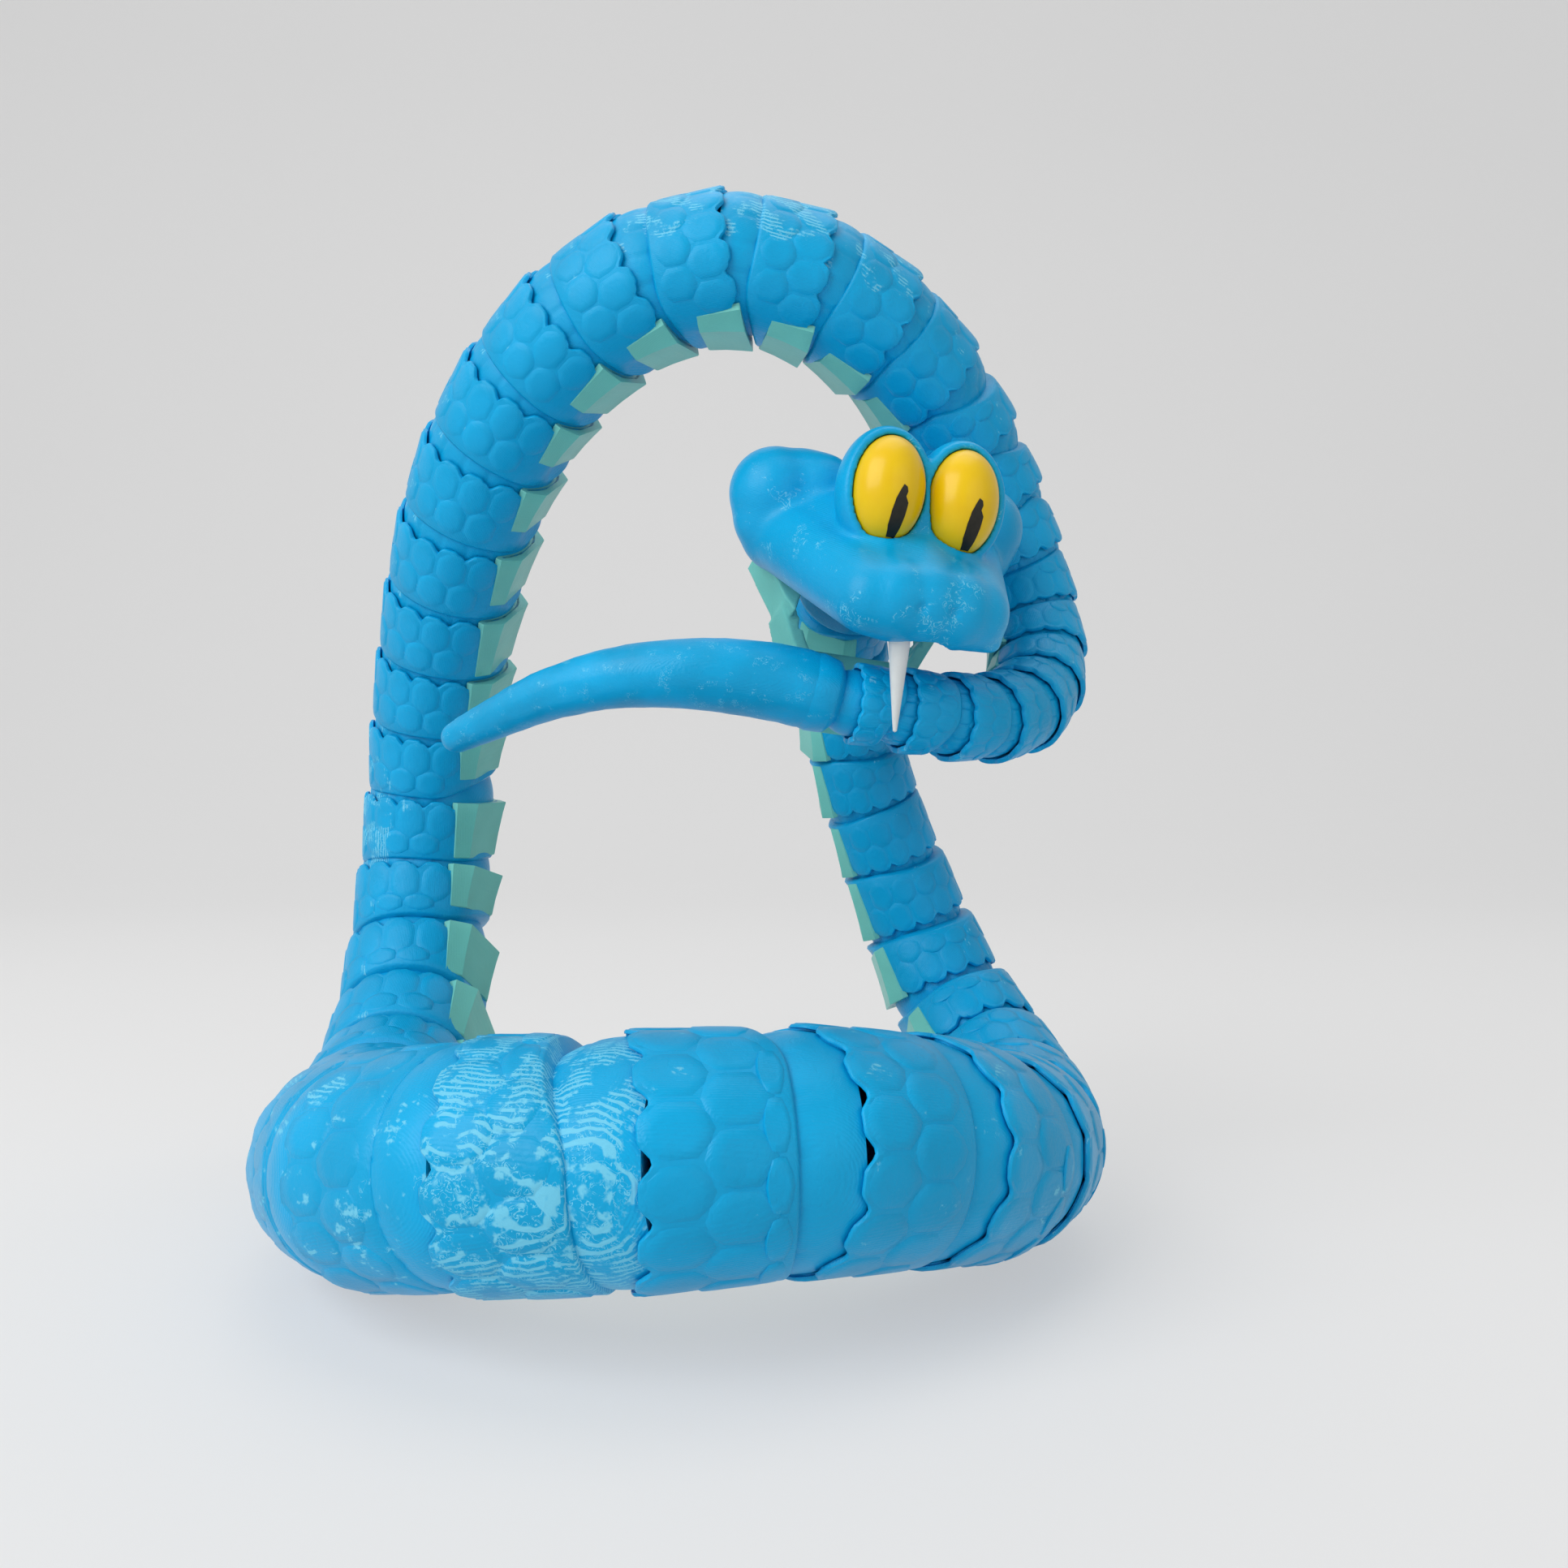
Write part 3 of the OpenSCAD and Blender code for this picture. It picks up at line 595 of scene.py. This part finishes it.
# The bow's first points lie inside its root, so it starts at this one.
first = 5
heading = (bow[-1, :3] - bow[-2, :3]) / np.linalg.norm(bow[-1, :3] - bow[-2, :3])
tip = [(bow[-1, :3] + heading * bow_girth[-1] * math.sin(q), bow_girth[-1] * math.cos(q))
       for q in np.radians((20, 40, 55, 68, 78, 86))]
line_points = [tuple(p) for p in bow[first:, :3] * mm] + [tuple(p * mm) for p, r in tip]
line_girth = list(bow_girth[first:] * mm) + [r * mm for p, r in tip]
# It starts a little thinner than the root's end.
line_girth[0] -= 0.0003
line_mesh = bpy.data.meshes.new("bow line")
line_mesh.from_pydata(line_points, [(i, i + 1) for i in range(len(line_points) - 1)], [])
note(line_mesh, "girth", line_girth)

sweep_bow = bpy.data.node_groups.new("Bow along a line", "GeometryNodeTree")
give_sockets(sweep_bow, "INPUT", {"Line": "Geometry", "Plastic": "Material", "Sides": "Int",
                                  "Dents": "Float"})
give_sockets(sweep_bow, "OUTPUT", {"Bow": "Geometry"})
bow_in = sweep_bow.nodes.new("NodeGroupInput").outputs
path = add(sweep_bow, "GeometryNodeMeshToCurve", {}, {"Mesh": bow_in["Line"]})
circle = add(sweep_bow, "GeometryNodeCurvePrimitiveCircle", {},
             {"Resolution": bow_in["Sides"], "Radius": 1.0})
swept = add(sweep_bow, "GeometryNodeCurveToMesh", {},
            {"Curve": path.outputs[0], "Profile Curve": circle.outputs[0],
             "Scale": noted(sweep_bow, "girth"), "Fill Caps": True})
dents = add(sweep_bow, "ShaderNodeTexNoise", {}, {"Scale": 260.0, "Detail": 2.0})
dent = maths(sweep_bow, "MULTIPLY", maths(sweep_bow, "SUBTRACT", dents.outputs["Fac"], 0.5),
             bow_in["Dents"])
outward = sweep_bow.nodes.new("GeometryNodeInputNormal")
shift = add(sweep_bow, "ShaderNodeVectorMath", {"operation": "SCALE"},
            {0: outward.outputs[0], "Scale": dent})
dented = add(sweep_bow, "GeometryNodeSetPosition", {},
             {"Geometry": swept.outputs[0], "Offset": shift.outputs[0]})
end_tree(sweep_bow, dented.outputs[0], bow_in["Plastic"], "Bow")
bow_mesh = run_nodes(line_mesh, sweep_bow, {"Plastic": smooth_blue_plastic, "Sides": 64, "Dents": 0.0006})
bow_mesh.transform(Matrix.Translation(tail_joint))
# The bow carries pale lines all over: partly scuffs, partly painted highlight.
keep_places(bow_mesh, evenly(0.62), grain=1.7)
shade(bow_mesh, 45)
put("tail_bow", bow_mesh, "tail", "blue_print", "tail_piece")

# The tail's dome and the short root that the bow grows out of.
axis = Vector(bow[0, :3] - bow[2, :3]).normalized()
back = (Vector((0, -1, 0)) + axis.y * axis).normalized()
tail_place = frame_at(tail_joint, back.cross(axis), back, axis)
last_girth = link_frames[-1][0]
dome = last_girth - (skirt_wall + dome_gap)
root, edge_round = 0.0088, 0.0002
rings, start = front_rings(dome, ball_share * last_girth)
for a in np.linspace(dome_front, -math.radians(most_back), 8):
    rings.append(ring(dome * math.cos(a), dome * math.sin(a)))
# Behind the dome it steps up, swells to the root's full girth and ends in a rounded edge round the bow.
stub = mm * (np.linalg.norm(bow[first, :3] - bow[0, :3]) + 1.2)
for radius, depth in ((0.925 * root, -0.6 * root * 0.93), (0.945 * root, -0.63 * root), (root, -root),
                      (0.962 * root, -stub + edge_round), (0.9 * root, -stub)):
    rings.append(ring(radius, depth))
skin = closed_skin("tail_root", np.array(rings), start, np.array([0.0, 0.0, -stub]))
keep_places(skin, evenly(0.5), grain=1.7)
shade(skin, 45)
skin.transform(tail_place)
skin.materials.append(smooth_blue_plastic)
put("tail_root", skin, "tail", "blue_print")

# The head. It is one blue print: skull, two round cheeks, a broad snout and two raised eye rims,
# all run into each other, with a neck skirt behind that takes the first link.


def rod(a, ra, b, rb):
    """Closed mesh data of two balls and the cone between them, in mm."""
    a, b = np.array(a, float), np.array(b, float)
    far = np.linalg.norm(b - a)
    z = (b - a) / far
    x = np.cross(z, [0, 0, 1] if abs(z[2]) < 0.9 else [1, 0, 0])
    x /= np.linalg.norm(x)
    y = np.cross(z, x)
    tilt = math.degrees(math.asin((ra - rb) / far))
    rows = [(ra * math.cos(math.radians(q)), ra * math.sin(math.radians(q)))
            for q in np.linspace(-75, tilt, 10)]
    rows += [(rb * math.cos(math.radians(q)), far + rb * math.sin(math.radians(q)))
             for q in np.linspace(tilt, 75, 10)]
    turn = np.radians(np.arange(0, 360, 11.25))
    rings = [a + np.outer(r * np.cos(turn), x) + np.outer(r * np.sin(turn), y) + z * h for r, h in rows]
    points = np.vstack([a - z * ra] + rings + [b + z * rb])
    n = len(turn)
    faces = [(0, 1 + (j + 1) % n, 1 + j) for j in range(n)]
    for k in range(len(rings) - 1):
        here, beyond = 1 + k * n, 1 + (k + 1) * n
        faces += [(here + j, here + (j + 1) % n, beyond + (j + 1) % n, beyond + j) for j in range(n)]
    end = 1 + (len(rings) - 1) * n
    faces += [(end + j, end + (j + 1) % n, len(points) - 1) for j in range(n)]
    return points, faces


def leaned(part, degrees, centre):
    """Turns a part about X, then moves it to its centre."""
    points, faces = part
    t = math.radians(degrees)
    turned = points.copy()
    turned[:, 1] = points[:, 1] * math.cos(t) - points[:, 2] * math.sin(t)
    turned[:, 2] = points[:, 1] * math.sin(t) + points[:, 2] * math.cos(t)
    return turned + np.array(centre, float), faces


def egg(centre, radii, front=None, tilt=0):
    """Closed mesh data of an ellipsoid in mm. With front, everything behind that depth is flat."""
    rows = np.linspace(0, math.pi, 41)[1:-1]
    turn = np.radians(np.arange(0, 360, 5.625))
    n = len(turn)
    points = [(0, 0, radii[2])]
    points += [(radii[0] * math.sin(q) * math.cos(t), radii[1] * math.sin(q) * math.sin(t),
                radii[2] * math.cos(q)) for q in rows for t in turn]
    points = np.array(points + [(0, 0, -radii[2])], float)
    if front is not None:
        points[:, 2] = np.maximum(points[:, 2], front)
    faces = [(0, 1 + j, 1 + (j + 1) % n) for j in range(n)]
    for k in range(len(rows) - 1):
        here, beyond = 1 + k * n, 1 + (k + 1) * n
        faces += [(here + j, beyond + j, beyond + (j + 1) % n, here + (j + 1) % n) for j in range(n)]
    end = 1 + (len(rows) - 1) * n
    faces += [(end + j, len(points) - 1, end + (j + 1) % n) for j in range(n)]
    return leaned((points, faces), tilt, centre)


def prism(outline, low, high):
    """Closed mesh data of an outline drawn in X and Y, counter-clockwise, from low to high in Z."""
    n = len(outline)
    points = np.array([(x, y, low) for x, y in outline] + [(x, y, high) for x, y in outline], float)
    faces = [tuple(range(n - 1, -1, -1)), tuple(range(n, 2 * n))]
    faces += [(j, (j + 1) % n, n + (j + 1) % n, n + j) for j in range(n)]
    return points, faces


def solid(name, *parts):
    """One object from several closed parts."""
    points, faces, base = [], [], 0
    for p, f in parts:
        points.append(p)
        faces += [tuple(base + v for v in face) for face in f]
        base += len(p)
    mesh = bpy.data.meshes.new(name)
    mesh.from_pydata(np.vstack(points).tolist(), [], faces)
    return into_scene(name, mesh)


def both(*parts):
    """The parts and their mirror images on the other side of the head."""
    return list(parts) + [(points * np.array([-1, 1, 1]), [f[::-1] for f in faces])
                          for points, faces in parts]


def apply(obj, *modifiers):
    """Runs the modifiers on obj and keeps the result as its mesh."""
    for kind, values in modifiers:
        modifier = obj.modifiers.new(kind.lower(), kind)
        for key, value in values.items():
            setattr(modifier, key, value)
    graph = bpy.context.evaluated_depsgraph_get()
    mesh = bpy.data.meshes.new_from_object(obj.evaluated_get(graph), depsgraph=graph)
    obj.modifiers.clear()
    obj.data = mesh


def boolean(operation, other):
    return "BOOLEAN", {"operation": operation, "solver": "EXACT", "object": other}


def voxels(size):
    return "REMESH", {"mode": "VOXEL", "voxel_size": size}


def smoothed(times):
    return "SMOOTH", {"factor": 0.5, "iterations": times}


eye_side, eye_tall, eye_tilt = 8.1, 11.6, -18
eye_places = {"left": (8.6, 30, 41), "right": (-8.6, 30, 41)}


def eye_egg(centre, grown=0.0, front=None):
    """The form of an eye, grown all round by so many mm."""
    return egg(centre, (eye_side + grown, eye_tall + grown, eye_side + grown), front, eye_tilt)


mass = solid("head mass",
             # The skull and the middle of the snout.
             rod((0, 17, 24), 16, (0, 24, 31), 14), rod((0, 13, 30), 13.5, (0, 9.8, 56), 9),
             # On both sides: the cheeks, what joins them to the skull and the snout, and the temples.
             *both(rod((25.5, 22, 13), 10.9, (22.5, 14, 14), 10), rod((0, 17, 22), 13, (24.5, 17, 14), 10.2),
                   rod((21.5, 14, 15), 10, (11.5, 8.9, 54.5), 8.2),
                   rod((12.75, 14, 19), 12.7, (4.5, 9.7, 52), 9.2),
                   rod((12.75, 16, 22), 11, (7, 15, 40), 10), rod((8, 10, 45), 9.5, (6.5, 9.4, 56), 8.8),
                   rod((16, 25, 16), 8.5, (20, 24, 13), 9.5)),
             # The upper lip: a thin point on one side, a full lobe over the fang on the other.
             rod((13, 7, 52), 6.5, (17, 3.4, 56.5), 2.2), rod((-9, 7, 46), 6.8, (-7.5, 4.9, 55.5), 4.7))
apply(mass, voxels(0.6), smoothed(34))
rims = solid("eye rims", *both(eye_egg((8.6, 29.2, 38.6), 2.5)))
rim_front = solid("rim front", leaned(prism([(-40, -40), (40, -40), (40, 40), (-40, 40)], 1.6, 30),
                                      eye_tilt, (0, 30, 41)))
apply(rims, voxels(0.6), boolean("DIFFERENCE", rim_front))
turn = np.radians(np.arange(0, 360, 3.75))


def turned_rings(rows, flat=1.0):
    """Rings of a form turned about Z, from rows of radius and height. Flat squeezes it in Y."""
    return np.array([[(r * math.cos(t), r * math.sin(t) * flat, h) for t in turn] for r, h in rows])


skirt_rings = turned_rings([(5, 19.6), (10.4, 18), (12.6, 12), (13, 5), (13, 0.5), (12.5, 0)])
skirt_mesh = closed_skin("neck skirt", skirt_rings, np.array([0, 0, 20.0]), np.array([0, 0, 0.0]))
skirt_mesh.transform(Matrix.Rotation(-neck_tilt, 4, "X"))
skirt = into_scene("neck skirt", skirt_mesh)
eye_holes = solid("eye holes", *both(eye_egg(eye_places["left"], 0.2, front=-5)))
neck_hole = solid("neck hole", egg((0, 0, 0), (11.5, 11.5, 11.5)))
palate = solid("palate", rod((0, -2.5, 26), 9.5, (1.5, -1.6, 56), 6.4))
nostrils = solid("nostrils", *both(egg((3.6, 10.2, 65.0), (1.5, 1.8, 1.2))))
apply(mass, boolean("UNION", rims), boolean("UNION", skirt), voxels(0.45), smoothed(5),
      boolean("DIFFERENCE", eye_holes), boolean("DIFFERENCE", neck_hole), boolean("DIFFERENCE", palate),
      boolean("DIFFERENCE", nostrils), voxels(0.5), smoothed(2))
head_mesh = mass.data
clear(mass, rims, rim_front, skirt, eye_holes, neck_hole, palate, nostrils)
head_mesh.transform(Matrix.Scale(mm, 4))
cheek_mark, nose_mark = np.array([-0.019, 0.006, 0.036]), np.array([0.004, 0.012, 0.064])


def head_scuffs_and_highlights(p):
    """The head carries pale lines all over, more on one cheek and the nose: scuffs and painted highlight."""
    cheek = np.exp(-((p - cheek_mark) ** 2).sum(axis=1) / 0.011 ** 2)
    tip_of_nose = np.exp(-((p - nose_mark) ** 2).sum(axis=1) / 0.008 ** 2)
    return 0.55 + 0.35 * cheek + 0.35 * tip_of_nose


keep_places(head_mesh, head_scuffs_and_highlights, grain=0.9)
head_mesh.shade_smooth()
head_mesh.transform(head_place)
head_mesh.materials.clear()
head_mesh.materials.append(smooth_blue_plastic)
put("head_shell_print", head_mesh, "head", "blue_print", "head_shell")

# The ball behind the head, printed with it on a post in the neck skirt. The socket of the first link
# holds it.
neck_ball, neck_post, post_top = 0.00338, 0.0022, 0.0098
ball_rings = turned_rings([(neck_post, post_top), (neck_post, 0.003)] + [
    (neck_ball * math.sin(q), neck_ball * math.cos(q)) for q in np.radians((45, 70, 90, 115, 140, 165))])
ball_mesh = closed_skin("neck_ball", ball_rings, np.array([0, 0, post_top]), np.array([0, 0, -neck_ball]))
keep_places(ball_mesh, evenly(0.1))
shade(ball_mesh, 40)
ball_mesh.transform(head_place @ Matrix.Rotation(-neck_tilt, 4, "X"))
ball_mesh.materials.append(smooth_blue_plastic)
put("neck_ball", ball_mesh, "head", "blue_print")

# The lower jaw. A mint scoop on two ears with pins in the cheeks. Its sides run back under the cheeks
# as the soft corners of the open mouth.
jaw_open = 48
jaw_half = [(-18.5, -6), (18.5, -6), (18.5, 5), (20.5, 9), (13.5, 22), (8, 36), (-8, 36), (-13.5, 22),
            (-20.5, 9), (-18.5, 5)]
jaw_room = [(-15.5, -7), (15.5, -7), (15.5, 5), (17, 9), (10.5, 21), (6, 32), (-6, 32), (-10.5, 21),
            (-17, 9), (-15.5, 5)]
jaw_profile = [(2, -4), (-12, -15), (-33, -15), (-36, -12), (-35, -10), (-28, -9), (-16, -5), (-8, -1),
               (-3, 4), (2, 4), (4, 0)]
ear_room = [(-15.5, -7), (15.5, -7), (15.5, 14), (-15.5, 14)]
mouth_corner = [(17.8, 12), (20.3, 9), (24.6, 0), (26.4, -4), (23.5, -5), (19, 0), (15.6, 5)]


def drawn_from_above(part):
    """A prism drawn in X and Z, standing along Y."""
    points, faces = part
    return np.stack([points[:, 0], -points[:, 2], points[:, 1]], axis=1), faces


def drawn_from_the_side(part):
    """A prism drawn in -Z and Y, lying along X."""
    points, faces = part
    return np.stack([points[:, 2], points[:, 1], -points[:, 0]], axis=1), faces


scoop = solid("scoop", drawn_from_above(prism(jaw_half, -20, 20)))
profile = solid("profile", drawn_from_the_side(prism(jaw_profile, -25, 25)))
room = solid("room", drawn_from_above(prism(jaw_room, -20, 12.5)))
between = solid("between ears", drawn_from_above(prism(ear_room, -25, 25)))
corners = solid("mouth corners", *both(drawn_from_above(prism(mouth_corner, -1, 10))))
apply(scoop, boolean("INTERSECT", profile), boolean("DIFFERENCE", room), boolean("DIFFERENCE", between),
      boolean("UNION", corners), voxels(0.4), smoothed(6))
jaw_mesh = scoop.data
clear(scoop, profile, room, between, corners)
jaw_mesh.transform(Matrix.Translation((0, 6, 14)) @ Matrix.Rotation(math.radians(jaw_open), 4, "X"))
jaw_mesh.transform(Matrix.Scale(mm, 4))
keep_places(jaw_mesh, evenly(0.15))
jaw_mesh.shade_smooth()
jaw_mesh.transform(head_place)
jaw_mesh.materials.clear()
jaw_mesh.materials.append(mint_plastic)
put("jaw_print", jaw_mesh, "head", "mint_print", "lower_jaw")

# The eyes and pupils. Each eye is a glossy yellow dome with a slanted black slit let into it. They are
# printed by themselves and pressed into the holes inside the eye rims.


def speckled(name, scale, dark, light, rough, coat):
    made = bpy.data.materials.new(name)
    made.use_nodes = True
    tree = made.node_tree
    at = add(tree, "ShaderNodeTexCoord", {}, {})
    noise = add(tree, "ShaderNodeTexNoise", {},
                {"Vector": at.outputs["Object"], "Scale": scale, "Detail": 3.0})
    tone = add(tree, "ShaderNodeMix", {"data_type": "RGBA"}, {0: noise.outputs["Fac"], 6: dark, 7: light})
    fill(tree, tree.nodes["Principled BSDF"], {
        "Base Color": tone.outputs[2], "Roughness": rough, "Specular IOR Level": 0.3, "Coat Weight": coat})
    return made


yellow_plastic = speckled("Yellow print", 220.0, (0.86, 0.52, 0.001, 1), (0.92, 0.62, 0.002, 1),
                          rough=0.3, coat=0.08)
black_plastic = speckled("Black print", 900.0, (0.006, 0.005, 0.003, 1), (0.022, 0.019, 0.011, 1),
                         rough=0.5, coat=0.0)
slit = [(0.8, 0), (0.2, -1.2), (-0.5, -3), (-0.9, -5.6), (-0.9, -8.4), (-0.3, -10.6), (1.6, -10.6),
        (2, -8.6), (2.3, -6), (2.4, -3.6), (1.6, -2.4), (1.9, -1.4), (1.6, -0.4)]
head_in_mm = head_place @ Matrix.Scale(mm, 4)
for name, centre in eye_places.items():
    dome_form = solid("eye_" + name, eye_egg(centre, front=-5))
    eye_mesh = dome_form.data
    clear(dome_form)
    eye_mesh.transform(head_in_mm)
    shade(eye_mesh, 40)
    eye_mesh.materials.append(yellow_plastic)
    put("eye_%s_dome" % name, eye_mesh, "head", "yellow_print", "eye_" + name)
    cutter = solid("slit", leaned(prism(slit, 0.5, 20), eye_tilt, centre))
    pupil = solid("pupil", eye_egg(centre, 0.1))
    under = solid("under", eye_egg(centre, -0.8))
    apply(pupil, boolean("INTERSECT", cutter), boolean("DIFFERENCE", under))
    pupil_mesh = pupil.data
    clear(cutter, pupil, under)
    pupil_mesh.transform(head_in_mm)
    shade(pupil_mesh, 35)
    pupil_mesh.materials.clear()
    pupil_mesh.materials.append(black_plastic)
    put("pupil_%s_slit" % name, pupil_mesh, "head", "black_print", "pupil_" + name)

# The fang. A white print that tapers to a point, a little flat from front to back. Its short peg is
# pressed into a hole in the upper lip.
white_plastic = speckled("White print", 300.0, (0.72, 0.74, 0.72, 1), (0.86, 0.87, 0.85, 1),
                         rough=0.35, coat=0.0)
lean = Vector((3, -19.5, 2)).normalized()
root_at = Vector((-3.8, 1.4, 56))
fang_turn = lean.to_track_quat("Z", "Y").to_matrix().to_4x4()
fang_rings = turned_rings([(0.45, 19.8), (0.75, 17), (1.25, 12), (1.75, 7), (2.2, 2.4), (2.3, 1.4),
                           (2.3, -2.9), (2.25, -3.0)], flat=0.92)
fang_mesh = closed_skin("fang_print", fang_rings, np.array([0, 0, 20.15]), np.array([0, 0, -3.0]))
fang_mesh.transform(head_in_mm @ Matrix.Translation(root_at) @ fang_turn)
shade(fang_mesh, 40)
fang_mesh.materials.append(white_plastic)
put("fang_print", fang_mesh, "head", "white_print", "fang")

# The photographer's side: a pale floor that curves up behind, soft light from the left and above, and
# the camera level with the middle of the toy.
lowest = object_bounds()[0].z
bend = 0.9
floor_rows = [(-1.5, 0.0), (bend, 0.0)] + [(bend + bend * math.sin(q), bend - bend * math.cos(q))
                                          for q in np.radians(np.arange(10, 91, 10))] + [(1.8, 2.4)]
floor_points = [(x, y, lowest + z) for y, z in floor_rows for x in (-3.0, 3.0)]
floor_mesh = bpy.data.meshes.new("floor")
floor_mesh.from_pydata(floor_points, [], [(2 * i, 2 * i + 1, 2 * i + 3, 2 * i + 2)
                                          for i in range(len(floor_rows) - 1)])
floor_mesh.shade_smooth()
floor = into_scene("floor", floor_mesh)


def seen_directly(tree):
    """1 for what the camera sees, also in gloss and through something clear, and 0 for other rays."""
    ray = add(tree, "ShaderNodeLightPath", {}, {}).outputs
    seen_or_glossy = maths(tree, "MAXIMUM", ray["Is Camera Ray"], ray["Is Glossy Ray"])
    return maths(tree, "MAXIMUM", seen_or_glossy, ray["Is Transmission Ray"])


paper = bpy.data.materials.new("Paper")
paper.use_nodes = True
tree = paper.node_tree
paper_at = add(tree, "ShaderNodeTexCoord", {}, {})
paper_noise = add(tree, "ShaderNodeTexNoise", {}, {"Vector": paper_at.outputs["Object"], "Scale": 3.0})
paper_tone = add(tree, "ShaderNodeMix", {"data_type": "RGBA"},
                 {0: paper_noise.outputs["Fac"], 6: (0.76, 0.76, 0.76, 1), 7: (0.79, 0.79, 0.79, 1)})
fill(tree, tree.nodes["Principled BSDF"], {"Base Color": paper_tone.outputs[2], "Roughness": 0.8})
# To the camera, and in gloss, the paper is half its own white, so that it keeps the toy's shadow.
half_seen = maths(tree, "MULTIPLY", seen_directly(tree), 0.5)
white = add(tree, "ShaderNodeEmission", {}, {"Color": (0.93, 0.93, 0.93, 1), "Strength": 1.0})
blend = add(tree, "ShaderNodeMixShader", {},
            {0: half_seen, 1: tree.nodes["Principled BSDF"].outputs[0], 2: white.outputs[0]})
fill(tree, tree.nodes["Material Output"], {"Surface": blend.outputs[0]})
floor_mesh.materials.append(paper)

aim = Vector((0, 0, -0.1))
for name, place, size, power in (("window light", (-0.9, -0.9, 0.7), 1.2, 16),
                                 ("fill light", (0.9, -1.2, 0.2), 1.4, 3.5),
                                 ("top light", (0.1, 0.2, 1.2), 1.2, 5)):
    lamp = bpy.data.lights.new(name, "AREA")
    lamp.size = size
    lamp.energy = power
    lamp_object = into_scene(name, lamp)
    lamp_object.location = place
    lamp_object.rotation_euler = (aim - Vector(place)).to_track_quat("-Z", "Y").to_euler()
# The room lights the toy softly, and is seen as a pale wall.
world = bpy.data.worlds.new("room")
bpy.context.scene.world = world
world.use_nodes = True
tree = world.node_tree
room_light = tree.nodes["Background"]
fill(tree, room_light, {"Color": (1.0, 1.0, 1.0, 1.0), "Strength": 0.26})
pale_wall = add(tree, "ShaderNodeBackground", {}, {"Color": (0.86, 0.86, 0.86, 1), "Strength": 1.0})
around_all = add(tree, "ShaderNodeMixShader", {},
                 {0: seen_directly(tree), 1: room_light.outputs[0], 2: pale_wall.outputs[0]})
fill(tree, tree.nodes["World Output"], {"Surface": around_all.outputs[0]})

camera = bpy.data.cameras.new("camera")
camera.lens = 31.68
camera.sensor_width = 36
camera.clip_start = 0.01
camera_object = into_scene("camera", camera)
camera_object.location = (0.0274129, -0.325175, -0.101221)
camera_object.rotation_euler = (math.radians(90), 0, 0)
bpy.context.scene.camera = camera_object
bpy.context.scene.view_settings.view_transform = "Standard"
